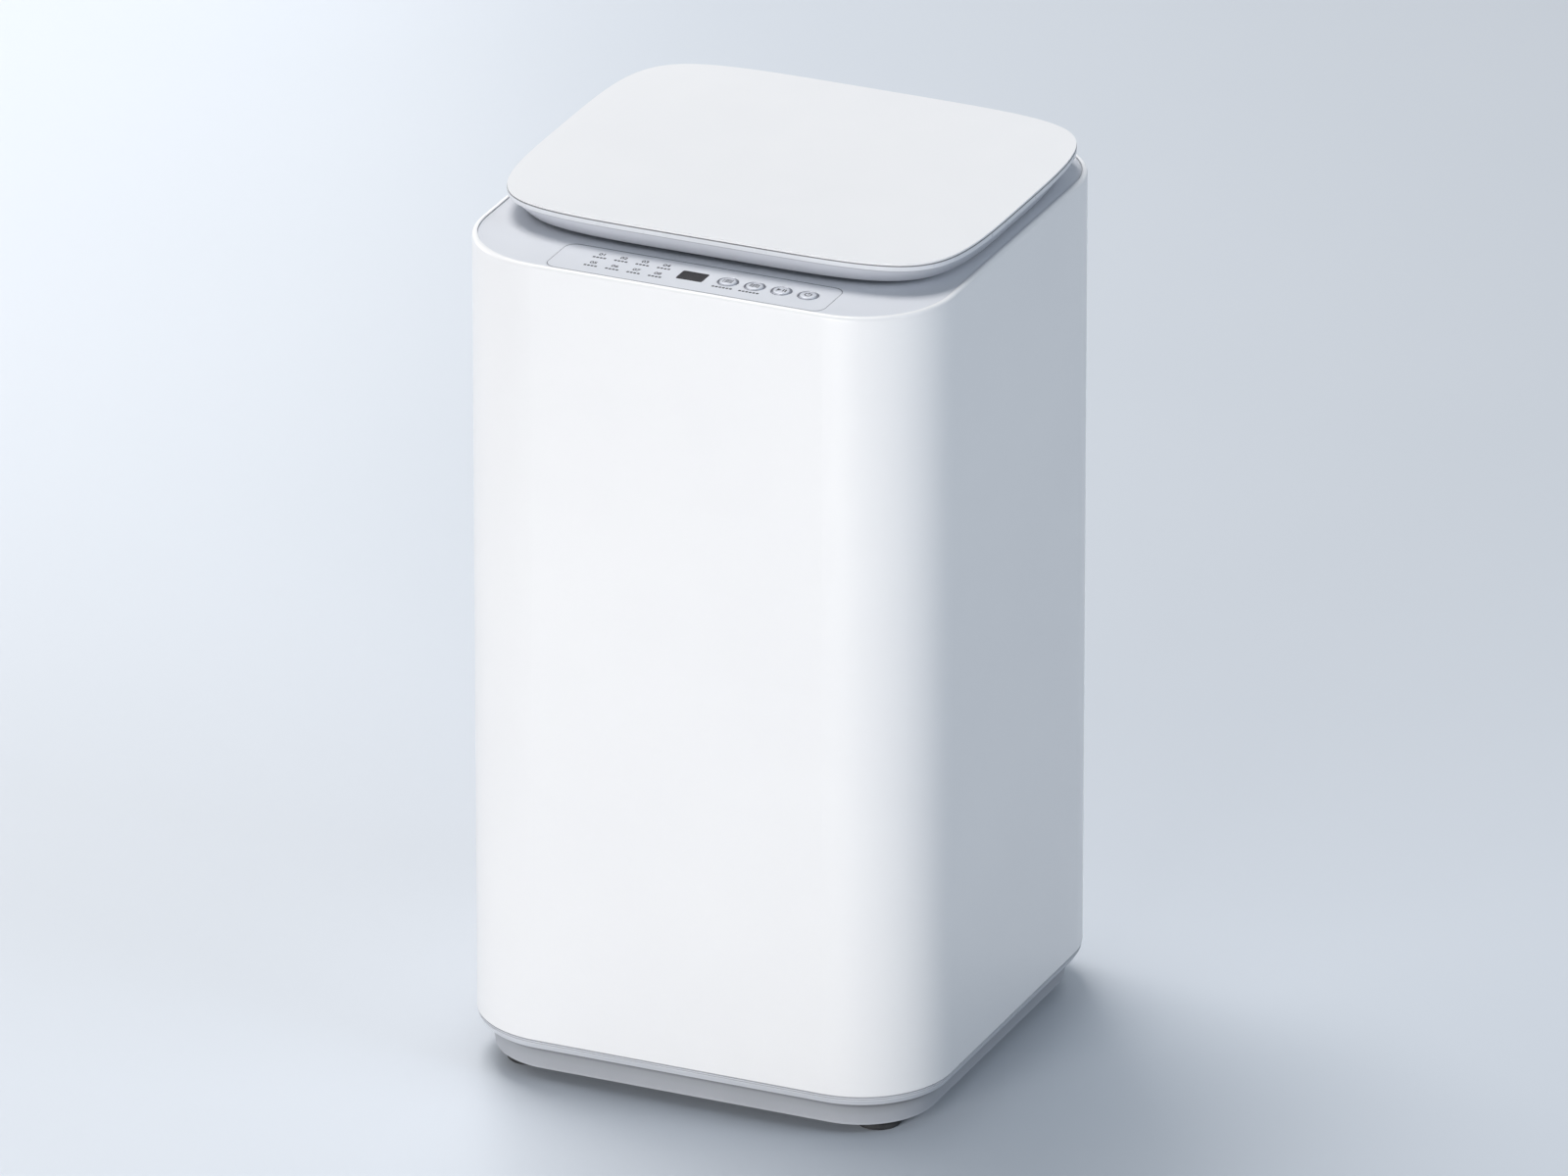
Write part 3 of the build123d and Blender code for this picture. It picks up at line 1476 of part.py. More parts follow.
# Drain hose: a soft sleeve from the tub's spigot to the pump's neck
with BuildPart() as drain_hose:
    upright_ring(
        [pump_center], hose_radius, hose_radius - hose_wall, pump_neck_top,
        tub_bottom - drain_spigot_length,
    )
drain_hose.part.label = "drain_hose"
export_step(drain_hose.part, "parts/drain_hose.step")

# Level sensor: a pressure switch under the deck, with an air tube down to the tub's bell
with BuildPart() as pressure_sensor:
    upright([(sensor_x, tub_y)], sensor_radius, sensor_bottom, sensor_bottom + sensor_height)
    upright([(tube_x, tub_y)], tube_radius, sensor_bottom - sensor_nipple_length, sensor_bottom)
pressure_sensor.part.label = "pressure_sensor"
export_step(pressure_sensor.part, "parts/pressure_sensor.step")

with BuildPart() as pressure_tube:
    upright_ring(
        [(tube_x, tub_y)], tube_radius, tube_bore, bell_top, sensor_bottom - sensor_nipple_length
    )
pressure_tube.part.label = "pressure_tube"
export_step(pressure_tube.part, "parts/pressure_tube.step")

# Power board: mains circuit board with its transformer, relay and capacitor, in the tray
with BuildPart() as power_board:
    left = power_board_x - power_board_width / 2
    front = power_board_y - power_board_depth / 2
    block(
        left, left + power_board_width, front, front + power_board_depth,
        power_board_level, power_board_level + board_thickness,
    )
    parts_level = power_board_level + board_thickness
    board_blocks = ((transformer_place, transformer_size), (relay_place, relay_size))
    for (from_left, from_front), (width, depth, height) in board_blocks:
        block(
            left + from_left, left + from_left + width,
            front + from_front, front + from_front + depth,
            parts_level, parts_level + height,
        )
    capacitor_point = (left + capacitor_place[0], front + capacitor_place[1])
    upright([capacitor_point], capacitor_radius, parts_level, parts_level + capacitor_height)
power_board.part.label = "power_board"
export_step(power_board.part, "parts/power_board.step")
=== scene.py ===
from math import cos, hypot, pi, radians, sin

import bmesh
import bpy
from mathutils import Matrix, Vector


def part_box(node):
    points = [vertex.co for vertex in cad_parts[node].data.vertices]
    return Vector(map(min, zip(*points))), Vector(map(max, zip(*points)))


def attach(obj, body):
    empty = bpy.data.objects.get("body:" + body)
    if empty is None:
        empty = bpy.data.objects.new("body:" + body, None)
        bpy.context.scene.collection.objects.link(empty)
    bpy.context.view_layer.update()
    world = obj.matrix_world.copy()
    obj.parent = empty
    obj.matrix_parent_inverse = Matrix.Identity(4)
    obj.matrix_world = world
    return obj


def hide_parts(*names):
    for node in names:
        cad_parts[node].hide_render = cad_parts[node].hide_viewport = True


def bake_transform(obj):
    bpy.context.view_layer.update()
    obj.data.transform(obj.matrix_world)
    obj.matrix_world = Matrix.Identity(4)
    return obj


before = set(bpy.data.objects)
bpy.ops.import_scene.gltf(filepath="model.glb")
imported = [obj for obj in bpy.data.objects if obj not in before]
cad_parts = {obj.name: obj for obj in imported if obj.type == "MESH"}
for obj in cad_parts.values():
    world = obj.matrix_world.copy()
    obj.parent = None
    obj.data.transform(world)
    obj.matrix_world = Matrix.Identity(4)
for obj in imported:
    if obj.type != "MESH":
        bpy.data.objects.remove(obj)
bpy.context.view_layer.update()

# The camera
# A long lens in front of the machine, to its right and above it. The photograph's own centre is
# a few pixels off its middle, which the small shift gives back.
mm = 0.001
view_azimuth = radians(23.89)
view_elevation = radians(23.54)
view_distance = 15.706
view_reach = 60
view_aim = Vector((0, 0, 0.3693))
sensor_width = 36.0
lens_length = 459.8
shift_right = 0.0019
shift_up = -0.0003


def add_object(name, data):
    """Puts data into the scene as an object at the origin."""
    added = bpy.data.objects.new(name, data)
    bpy.context.scene.collection.objects.link(added)
    return added


camera = add_object("camera", bpy.data.cameras.new("camera"))
bpy.context.scene.camera = camera
camera.data.sensor_width = sensor_width
camera.data.lens = lens_length
camera.data.shift_x = shift_right
camera.data.shift_y = shift_up
camera.data.clip_end = view_reach
toward_camera = Vector(
    (
        sin(view_azimuth) * cos(view_elevation),
        -cos(view_azimuth) * cos(view_elevation),
        sin(view_elevation),
    )
)
camera.location = view_aim + toward_camera * view_distance
camera.rotation_euler = toward_camera.to_track_quat("Z", "Y").to_euler()


# The feet
# Four moulded rubber pads carry the machine. Three are pressed into the base, and the front right
# one sits on a threaded steel stud, so that the machine can be levelled.
class NodeTree:
    """A tree of nodes in the making."""

    def __init__(self, tree):
        self.tree = tree

    def node(self, kind, inputs=(), **settings):
        """Adds a node with its settings, and joins or sets its inputs by their place or name."""
        made = self.tree.nodes.new(kind)
        for setting, value in settings.items():
            setattr(made, setting, value)
        for socket, value in dict(inputs).items():
            if isinstance(value, bpy.types.NodeSocket):
                self.tree.links.new(value, made.inputs[socket])
            else:
                made.inputs[socket].default_value = value
        return made


class Finish(NodeTree):
    """One surface finish: a shader, and the noise that varies its colour, gloss and relief.

    Sizes, depths and levels are in millimetres.
    """

    coat_roughness = 0.12

    def __init__(self, name, colour, gloss, metal=0.0, coat=0.0, specular=0.5):
        self.material = bpy.data.materials.new(name)
        self.material.use_nodes = True
        super().__init__(self.material.node_tree)
        self.shader = self.tree.nodes["Principled BSDF"]
        plain_values = {
            "Base Color": (*colour, 1),
            "Roughness": 1 - gloss,
            "Metallic": metal,
            "Coat Weight": coat,
            "Coat Roughness": self.coat_roughness,
            "Specular IOR Level": specular,
        }
        for socket, value in plain_values.items():
            self.shader.inputs[socket].default_value = value
        self.place = self.node("ShaderNodeTexCoord").outputs["Object"]

    def feed(self, socket, value):
        """Joins a value to one of the shader's sockets."""
        self.tree.links.new(value, self.shader.inputs[socket])

    def so_far(self, socket):
        """What already feeds one of the shader's sockets, or None."""
        links = self.shader.inputs[socket].links
        return links[0].from_socket if links else None

    def noise(self, size, detail, place=None):
        """Cloudy noise from 0 to 1, whose clouds are about size across."""
        where = self.place if place is None else place
        inputs = {"Vector": where, "Scale": 1 / (size * mm), "Detail": detail}
        return self.node("ShaderNodeTexNoise", inputs).outputs["Fac"]

    def cells(self, size):
        """One value for each crystal, about size across."""
        crystals = self.node("ShaderNodeTexVoronoi", {"Vector": self.place, "Scale": 1 / (size * mm)})
        return self.node("ShaderNodeSeparateColor", {"Color": crystals.outputs["Color"]}).outputs["Red"]

    def spread(self, value, low, high, low_from=0.35, high_from=0.65):
        """A value of about low_from to high_from, spread out to run from low to high."""
        ends = {"From Min": low_from, "From Max": high_from, "To Min": low, "To Max": high}
        return self.node("ShaderNodeMapRange", {"Value": value, **ends}).outputs["Result"]

    def height_on_piece(self):
        """The height of the point that is shaded."""
        return self.node("ShaderNodeSeparateXYZ", {0: self.place}).outputs["Z"]

    def mixed(self, share, first, second, blend_type="MIX"):
        """The colour becomes a mix of two, each a socket or a plain colour."""
        inputs = {"Factor": share}
        for socket, colour in (("A", first), ("B", second)):
            is_socket = isinstance(colour, bpy.types.NodeSocket)
            inputs[socket] = colour if is_socket else (*colour, 1)
        mix = self.node("ShaderNodeMix", inputs, data_type="RGBA", blend_type=blend_type)
        self.feed("Base Color", mix.outputs["Result"])

    def gloss_by(self, value, low, high):
        """The gloss runs between two levels with the value."""
        self.feed("Roughness", self.spread(value, 1 - low, 1 - high))

    def relief(self, value, depth):
        """The value stands up from the surface by depth, on top of any relief so far."""
        inputs = {"Height": value, "Distance": depth * mm}
        if self.so_far("Normal"):
            inputs["Normal"] = self.so_far("Normal")
        self.feed("Normal", self.node("ShaderNodeBump", inputs).outputs["Normal"])

    def clouds(self, size, detail, colour_low, colour_high, gloss=None, stretch=None):
        """Noise takes the colour, and any gloss with it, between two levels. A stretch draws it out."""
        place = self.place
        if stretch:
            place = self.node("ShaderNodeMapping", {"Vector": place, "Scale": stretch}).outputs["Vector"]
        value = self.noise(size, detail, place)
        self.mixed(self.spread(value, 0, 1), colour_low, colour_high)
        if gloss:
            self.gloss_by(value, *gloss)
        return value

    def sheen(self, size, detail, low, high):
        """Noise of its own takes the gloss between two levels."""
        self.gloss_by(self.noise(size, detail), low, high)

    def grain(self, size, detail, depth):
        """Fine noise roughens the surface by depth."""
        self.relief(self.noise(size, detail), depth)

    def shade_by_height(self, *levels):
        """Darkens or lightens the colour by height, at levels of (height, tone) from the lowest."""
        lowest = levels[0][0]
        highest = levels[-1][0]
        share = self.spread(self.height_on_piece(), 0, 1, lowest * mm, highest * mm)
        tones = self.node("ShaderNodeValToRGB", {"Fac": share})
        stops = tones.color_ramp.elements
        while len(stops) < len(levels):
            stops.new(0.5)
        for stop, (height, tone) in zip(stops, levels):
            stop.position = (height - lowest) / (highest - lowest)
            stop.color = (tone, tone, tone, 1)
        self.mixed(1.0, self.so_far("Base Color"), tones.outputs["Color"], "MULTIPLY")

    def worn_edges(self, colour_worn, reach, share=0.6):
        """Edges nearer than reach have rubbed through to the worn colour."""
        rounded = self.node("ShaderNodeBevel", {"Radius": reach * mm}, samples=4)
        flat = self.node("ShaderNodeNewGeometry")
        normals = {0: rounded.outputs["Normal"], 1: flat.outputs["Normal"]}
        likeness = self.node("ShaderNodeVectorMath", normals, operation="DOT_PRODUCT")
        rubbed = self.spread(likeness.outputs["Value"], share, 0, low_from=0.86, high_from=0.99)
        self.mixed(rubbed, self.so_far("Base Color"), colour_worn)


def dress(finish, *node_names):
    """Gives CAD nodes a finish."""
    for node_name in node_names:
        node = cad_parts[node_name]
        node.data.materials.clear()
        node.data.materials.append(finish.material)


def plain_piece(name, mesh, smooth):
    """A mesh as a piece at the origin, shaded smooth or flat."""
    mesh.polygons.foreach_set("use_smooth", [smooth] * len(mesh.polygons))
    return add_object(name, mesh)


def mesh_piece(name, bm, finish, smooth=True):
    """A finished mesh as a piece, its faces turned outwards."""
    bmesh.ops.remove_doubles(bm, verts=bm.verts, dist=0.002 * mm)
    bmesh.ops.recalc_face_normals(bm, faces=bm.faces)
    mesh = bpy.data.meshes.new(name)
    bm.to_mesh(mesh)
    bm.free()
    mesh.materials.append(finish.material)
    return plain_piece(name, mesh, smooth)


def join_rings(bm, rings, capped=False):
    """Joins closed rings of vertices with four-sided faces. Capped, both ends get a face."""
    for low, high in zip(rings, rings[1:]):
        for i in range(len(low)):
            j = (i + 1) % len(low)
            corners = list(dict.fromkeys((low[i], low[j], high[j], high[i])))
            if len(corners) > 2:
                bm.faces.new(corners)
    if capped:
        bm.faces.new(rings[0])
        bm.faces.new(rings[-1])


def directions(steps, start=0.0):
    """A full turn in even steps, as cosine and sine, begun a share of a step round."""
    for i in range(steps):
        angle = 2 * pi * (i + start) / steps
        yield cos(angle), sin(angle)


def turned(bm, profile, centre, steps=48):
    """A profile of (radius, height) turned about a vertical axis. Radius 0 closes to a point."""
    rings = []
    for radius, height in profile:
        if radius == 0:
            ring = [bm.verts.new((centre[0], centre[1], height))] * steps
        else:
            ring = [
                bm.verts.new((centre[0] + radius * right, centre[1] + radius * back, height))
                for right, back in directions(steps)
            ]
        rings.append(ring)
    join_rings(bm, rings)


def threaded_rod(bm, centre, radius, depth, pitch, low, high):
    """A screw thread as rings of vertices whose radius follows the turn of the thread."""
    steps = 24
    rings_per_turn = 8
    count = int((high - low) / pitch * rings_per_turn)
    rings = []
    for k in range(count + 1):
        height = low + (high - low) * k / count
        ring = []
        for i, (right, back) in enumerate(directions(steps)):
            turn = (height - low) / pitch - i / steps
            reach = radius - depth * abs(2 * (turn % 1.0) - 1)
            ring.append(bm.verts.new((centre[0] + reach * right, centre[1] + reach * back, height)))
        rings.append(ring)
    join_rings(bm, rings, capped=True)


def middle_of(node_name):
    """The middle of a CAD node's box."""
    low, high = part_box(node_name)
    return (low + high) / 2


foot_rubber = Finish("foot_rubber", (0.020, 0.021, 0.023), gloss=0.28)
foot_rubber.clouds(12, 6, (0.014, 0.015, 0.017), (0.040, 0.041, 0.044), gloss=(0.34, 0.18))
foot_rubber.grain(0.6, 2, 0.06)
dress(foot_rubber, "foot_front_left", "foot_rear_left", "foot_rear_right")

stud_steel = Finish("stud_steel", (0.56, 0.57, 0.59), gloss=0.68, metal=1.0)
stud_steel.clouds(4, 4, (0.50, 0.51, 0.54), (0.66, 0.67, 0.68), gloss=(0.62, 0.74))

foot_low, foot_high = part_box("levelling_foot")
foot_centre = middle_of("levelling_foot")
pad_radius = (foot_high.x - foot_low.x) / 2
pad_top = foot_low.z + 5.5 * mm
stud_radius = 5 * mm
thread_depth = 0.55 * mm
thread_pitch = 1.5 * mm
foot_body = "levelling_foot_unit"

bm = bmesh.new()
pad_profile = [
    (0, foot_low.z),
    (pad_radius - 2 * mm, foot_low.z),
    (pad_radius - 0.6 * mm, foot_low.z + 0.4 * mm),
    (pad_radius, foot_low.z + 1.2 * mm),
    (pad_radius, pad_top - 1.2 * mm),
    (pad_radius - 1 * mm, pad_top - 0.2 * mm),
    (pad_radius - 3 * mm, pad_top),
    (0, pad_top),
]
turned(bm, pad_profile, foot_centre)
levelling_pad = mesh_piece("levelling_pad", bm, foot_rubber)
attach(levelling_pad, foot_body)
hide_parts("levelling_foot")

bm = bmesh.new()
threaded_rod(bm, foot_centre, stud_radius, thread_depth, thread_pitch, pad_top, foot_high.z)
levelling_stud = mesh_piece("levelling_stud", bm, stud_steel, smooth=False)
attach(levelling_stud, foot_body)

# The base tray and the trim band
# The tray is the machine's floor, with an upstand all round, and the band above it covers the
# joint to the cabinet. Both are moulded in light grey plastic with a fine satin texture. Painted
# shade darkens the tray under the band's overhang and fades towards its foot, whose edge carries
# a painted highlight. Two thin lines of painted shade at the band's top stand for the shadow gap
# under the cabinet and a fine groove.
base_plastic = Finish("base_plastic", (0.48, 0.50, 0.54), gloss=0.48)
base_plastic.clouds(50, 3, (0.47, 0.49, 0.53), (0.49, 0.51, 0.55))
# Painted shade under the band's overhang, lighter towards the foot, and a painted highlight on the lower
# edge.
base_plastic.shade_by_height(
    (9.5, 1.0), (10.8, 1.0), (11.6, 0.92), (19.0, 0.84), (24.5, 0.72), (27.5, 0.36), (31.5, 0.22)
)
base_plastic.sheen(20, 5, 0.44, 0.54)
base_plastic.grain(0.7, 2, 0.03)
dress(base_plastic, "base_tray")

band_plastic = Finish("band_plastic", (0.68, 0.70, 0.745), gloss=0.62)
band_plastic.clouds(60, 3, (0.665, 0.685, 0.73), (0.695, 0.715, 0.76))
# Painted shade: the shadow gap under the cabinet at the top, and the fine groove below the bead.
band_plastic.shade_by_height(
    (31.5, 1.0), (37.0, 0.97), (37.2, 0.72), (37.8, 0.72),
    (38.0, 1.0), (38.7, 1.0), (38.9, 0.66), (40.0, 0.66),
)
band_plastic.sheen(20, 5, 0.58, 0.66)
band_plastic.grain(0.9, 2, 0.02)
dress(band_plastic, "trim_band")

# The cabinet
# One wrap of white shell with rounded corners, painted in a satin white. The paint has a faint
# orange peel, and its gloss changes a little from place to place.
shell_white = Finish("shell_white", (0.86, 0.865, 0.88), gloss=0.62, coat=0.25)
shell_white.clouds(220, 2, (0.877, 0.882, 0.898), (0.893, 0.898, 0.911))
shell_white.sheen(30, 6, 0.58, 0.66)
shell_white.grain(2.5, 1, 0.01)
shell_white.grain(0.4, 1, 0.004)
dress(shell_white, "cabinet")

# The corner brackets
# Pressed steel angles in the four top corners, from which the tub hangs. They are zinc coated,
# with the coat's spangle and dull edges.
zinc_sheet = Finish("zinc_sheet", (0.60, 0.62, 0.64), gloss=0.55, metal=0.9)
zinc_sheet.mixed(zinc_sheet.cells(6), (0.50, 0.52, 0.54), (0.70, 0.72, 0.74))
zinc_sheet.worn_edges((0.38, 0.37, 0.36), 0.6)
zinc_sheet.sheen(4, 4, 0.45, 0.66)
dress(zinc_sheet, "corner_brackets")

# The back cover and its screws
# A grey moulded plate with air slots closes the back. Eight pan head screws with a cross recess
# hold it.
cover_plastic = Finish("cover_plastic", (0.66, 0.69, 0.74), gloss=0.42)
cover_plastic.clouds(70, 3, (0.645, 0.672, 0.72), (0.675, 0.70, 0.75))
cover_plastic.sheen(20, 5, 0.38, 0.48)
cover_plastic.grain(0.9, 2, 0.04)
dress(cover_plastic, "back_cover")


def mesh_of(thing):
    """The mesh of an object with its modifier or its lettering worked out. The object goes."""
    bpy.context.view_layer.update()
    graph = bpy.context.evaluated_depsgraph_get()
    mesh = bpy.data.meshes.new_from_object(thing.evaluated_get(graph))
    bpy.data.objects.remove(thing)
    return mesh


class NodePlan(NodeTree):
    """A geometry node tree that sets a pattern piece many times, with named inputs for its sizes."""

    def __init__(self, name):
        super().__init__(bpy.data.node_groups.new(name, "GeometryNodeTree"))
        for way in ("INPUT", "OUTPUT"):
            self.tree.interface.new_socket("Geometry", in_out=way, socket_type="NodeSocketGeometry")
        self.entry = self.tree.nodes.new("NodeGroupInput")
        self.exit = self.tree.nodes.new("NodeGroupOutput")
        self.identifiers = {}
        self.pattern = self.sizes("Object", "pattern")[0]
        self.finish = self.sizes("Material", "finish")[0]

    def sizes(self, kind, *names):
        """Adds named inputs of one kind and gives their sockets."""
        new_socket = self.tree.interface.new_socket
        for name in names:
            socket = new_socket(name, in_out="INPUT", socket_type="NodeSocket" + kind)
            self.identifiers[name] = socket.identifier
        return [self.entry.outputs[name] for name in names]

    def maths(self, operation, first, second=0.0):
        """One sum of two numbers, each a socket or a plain value."""
        return self.node("ShaderNodeMath", {0: first, 1: second}, operation=operation).outputs[0]

    def set_on(self, points, rotation):
        """Sets the pattern on every point, turned as told."""
        info = self.node("GeometryNodeObjectInfo", {"Object": self.pattern})
        inputs = {"Points": points, "Instance": info.outputs["Geometry"], "Rotation": rotation}
        return self.node("GeometryNodeInstanceOnPoints", inputs).outputs["Instances"]

    def real(self, instances):
        """The instances as real geometry."""
        return self.node("GeometryNodeRealizeInstances", {"Geometry": instances}).outputs["Geometry"]

    def finished(self, instances):
        """Ends the tree: the instances become real geometry and get their finish."""
        inputs = {"Geometry": self.real(instances), "Material": self.finish}
        dressed = self.node("GeometryNodeSetMaterial", inputs)
        self.tree.links.new(dressed.outputs["Geometry"], self.exit.inputs["Geometry"])

    def grow(self, name, pattern, finish, base_mesh, smooth=False, **sizes):
        """Runs the tree on a base mesh and gives a plain piece. The pattern goes. Sizes left out are 0."""
        base = add_object(name + "_base", base_mesh)
        modifier = base.modifiers.new("plan", "NODES")
        modifier.node_group = self.tree
        values = {"pattern": pattern, "finish": finish.material, **sizes}
        for value_name, value in values.items():
            modifier[self.identifiers[value_name]] = value
        base.update_tag()
        mesh = mesh_of(base)
        mesh.name = name
        bpy.data.objects.remove(pattern)
        return plain_piece(name, mesh, smooth)


def marks_plan():
    """A tree that sets the pattern on every vertex of a marks mesh, facing as the mark says."""
    plan = NodePlan("set_on_marks")
    facing = plan.node("GeometryNodeInputNamedAttribute", {"Name": "facing"}, data_type="FLOAT_VECTOR")
    turn = plan.node(
        "FunctionNodeAlignRotationToVector", {"Vector": facing.outputs["Attribute"]}, axis="Z"
    )
    points = plan.node("GeometryNodeMeshToPoints", {"Mesh": plan.entry.outputs["Geometry"]})
    plan.finished(plan.set_on(points.outputs["Points"], turn.outputs["Rotation"]))
    return plan


def marks_mesh(places, facing):
    """A mesh of loose vertices with a facing direction each."""
    mesh = bpy.data.meshes.new("marks")
    mesh.from_pydata([tuple(place) for place in places], [], [])
    for item in mesh.attributes.new("facing", "FLOAT_VECTOR", "POINT").data:
        item.vector = facing
    return mesh


def cross_head(bm, radius, height, recess_width, recess_depth):
    """A pan head with a cross recess, its seat at height 0. Its rings are (radius, height) shares."""
    dome = [(1.0, 0.0), (1.0, 0.45), (0.94, 0.72), (0.8, 0.9), (0.62, 0.98), (0.5, 1.0)]
    flat_top = [(share, 1.0) for share in (0.42, 0.34, 0.26, 0.18, 0.1)]
    recess_reach = 0.6 * radius
    rings = []
    for share, lift in dome + flat_top:
        ring = []
        for right, back in directions(48):
            x = radius * share * right
            y = radius * share * back
            in_cross = min(abs(x), abs(y)) < recess_width / 2 and hypot(x, y) < recess_reach
            ring.append(bm.verts.new((x, y, height * lift - (recess_depth if in_cross else 0))))
        rings.append(ring)
    join_rings(bm, rings, capped=True)


bolt_steel = Finish("bolt_steel", (0.58, 0.59, 0.61), gloss=0.7, metal=1.0)
bolt_steel.clouds(1.5, 4, (0.48, 0.49, 0.52), (0.70, 0.71, 0.72), gloss=(0.58, 0.76))

screws_low, screws_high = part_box("back_cover_screws")
screw_column = 109.5 * mm
screw_levels = (80 * mm, 275 * mm, 470 * mm, 665 * mm)
head_height = 1.2 * mm
head_radius = 3.4 * mm
recess_width = 0.9 * mm
recess_depth = 0.7 * mm
shank_length = (screws_high.y - screws_low.y) - head_height
shank_radius = 1.7 * mm
tip_radius = 1.2 * mm

bm = bmesh.new()
cross_head(bm, head_radius, head_height, recess_width, recess_depth)
shank_profile = [
    (0, -shank_length), (tip_radius, -shank_length), (shank_radius, mm - shank_length), (shank_radius, 0)
]
turned(bm, shank_profile, (0, 0), steps=16)
screw_pattern = mesh_piece("screw_pattern", bm, bolt_steel)
seat_y = screws_high.y - head_height
screw_places = [(side * screw_column, seat_y, level) for side in (-1, 1) for level in screw_levels]
on_marks = marks_plan()
screw_marks = marks_mesh(screw_places, (0, 1, 0))
cover_screws = on_marks.grow("cover_screws", screw_pattern, bolt_steel, screw_marks)
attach(cover_screws, "cabinet_unit")
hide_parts("back_cover_screws")

# The cord gland, the water inlet and the drain outlet
# They sit in two pockets of the back cover: a rubber gland for the power cord, a white solenoid
# valve with its hose nipple, and the black drain pipe.
gland_rubber = Finish("gland_rubber", (0.030, 0.031, 0.034), gloss=0.35)
gland_rubber.clouds(3, 4, (0.022, 0.023, 0.025), (0.045, 0.046, 0.05), gloss=(0.30, 0.42))
dress(gland_rubber, "cord_gland")

valve_nylon = Finish("valve_nylon", (0.78, 0.77, 0.73), gloss=0.45)
valve_nylon.clouds(20, 4, (0.75, 0.74, 0.70), (0.82, 0.81, 0.78))
valve_nylon.sheen(8, 4, 0.40, 0.52)
valve_nylon.grain(0.6, 2, 0.02)
dress(valve_nylon, "inlet_valve", "pressure_sensor")

pump_plastic = Finish("pump_plastic", (0.055, 0.057, 0.062), gloss=0.42)
pump_plastic.clouds(15, 4, (0.045, 0.046, 0.05), (0.075, 0.077, 0.083))
pump_plastic.sheen(6, 5, 0.36, 0.50)
pump_plastic.grain(0.6, 2, 0.03)
dress(pump_plastic, "outlet_pipe", "drain_pump", "suspension_seats", "suspension_cups")

# The suspension
# Four steel rods hang from ball seats in the corner brackets. The tub's ears rest on coil springs,
# which stand in cups at the rods' lower ends.
ground_steel = Finish("ground_steel", (0.55, 0.56, 0.58), gloss=0.72, metal=1.0)
drawn_out = (1, 1, 0.04)
ground_steel.clouds(
    2, 3, (0.48, 0.49, 0.51), (0.64, 0.65, 0.67), gloss=(0.62, 0.78), stretch=drawn_out
)
dress(ground_steel, "suspension_rods")

spring_wire_steel = Finish("spring_wire_steel", (0.42, 0.43, 0.45), gloss=0.66, metal=1.0)
spring_wire_steel.clouds(3, 4, (0.36, 0.37, 0.39), (0.50, 0.51, 0.53), gloss=(0.56, 0.72))

springs_low, springs_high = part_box("suspension_springs")
spring_outer = 13 * mm
spring_wire = 2.6 * mm
spring_radius = spring_outer - spring_wire / 2
spring_turns = 9


def wound_spring(bm, centre, low, high):
    """A round wire wound in a helix, with one closed turn at each end."""
    steps_per_turn = 28
    wire_sides = 8
    first = low + spring_wire / 2
    last = high - spring_wire / 2
    open_rise = (last - first - 2 * spring_wire) / (spring_turns - 2)
    rings = []
    for k in range(spring_turns * steps_per_turn + 1):
        turn = k / steps_per_turn
        if turn < 1:
            height = first + turn * spring_wire
        elif turn > spring_turns - 1:
            height = last - (spring_turns - turn) * spring_wire
        else:
            height = first + spring_wire + (turn - 1) * open_rise
        angle = 2 * pi * turn
        ring = []
        for out, up in directions(wire_sides):
            reach = spring_radius + spring_wire / 2 * out
            x = centre[0] + reach * cos(angle)
            y = centre[1] + reach * sin(angle)
            ring.append(bm.verts.new((x, y, height + spring_wire / 2 * up)))
        rings.append(ring)
    join_rings(bm, rings, capped=True)


bm = bmesh.new()
for spring_x in (springs_low.x + spring_outer, springs_high.x - spring_outer):
    for spring_y in (springs_low.y + spring_outer, springs_high.y - spring_outer):
        wound_spring(bm, (spring_x, spring_y), springs_low.z, springs_high.z)
coil_springs = mesh_piece("coil_springs", bm, spring_wire_steel)
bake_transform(coil_springs)
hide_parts("suspension_springs")

# The tub
# A white moulded tub holds the water. Its cover is snapped over the rim, and keeps shoes and
# water out of the space between the tub and the basket.
tub_plastic = Finish("tub_plastic", (0.70, 0.73, 0.76), gloss=0.50)
tub_plastic.clouds(80, 3, (0.67, 0.70, 0.735), (0.735, 0.76, 0.785))
tub_plastic.sheen(20, 4, 0.44, 0.56)
tub_plastic.grain(0.8, 2, 0.03)
dress(tub_plastic, "outer_tub", "tub_cover", "balance_ring")

# The drain hose and the pressure tube
# A black rubber bellows joins the tub to the pump, and a thin tube leads air pressure up to the
# level sensor. Both follow the tub as it sinks under its load.
hose_rubber = Finish("hose_rubber", (0.028, 0.029, 0.031), gloss=0.40)
hose_rubber.clouds(6, 4, (0.020, 0.021, 0.023), (0.042, 0.043, 0.046), gloss=(0.32, 0.48))
dress(hose_rubber, "shaft_seal")

hose_low, hose_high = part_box("drain_hose")
hose_radius = (hose_high.x - hose_low.x) / 2
cuff_height = 9 * mm
fold_count = 6
fold_inside = hose_radius - 2.6 * mm
fold_outside = hose_radius - 0.2 * mm
fold_profile = ((fold_inside, 0.18), (fold_inside, 0.36), (fold_outside, 0.62), (fold_outside, 0.88))
fold_height = (hose_high.z - hose_low.z - 2 * cuff_height) / fold_count
hose_wall = 2.0 * mm


def hollow(bm, outside, inside, centre, steps):
    """An outer and an inner profile, both from the bottom up, turned as one closed wall."""
    turned(bm, outside + inside[::-1] + outside[:1], centre, steps)


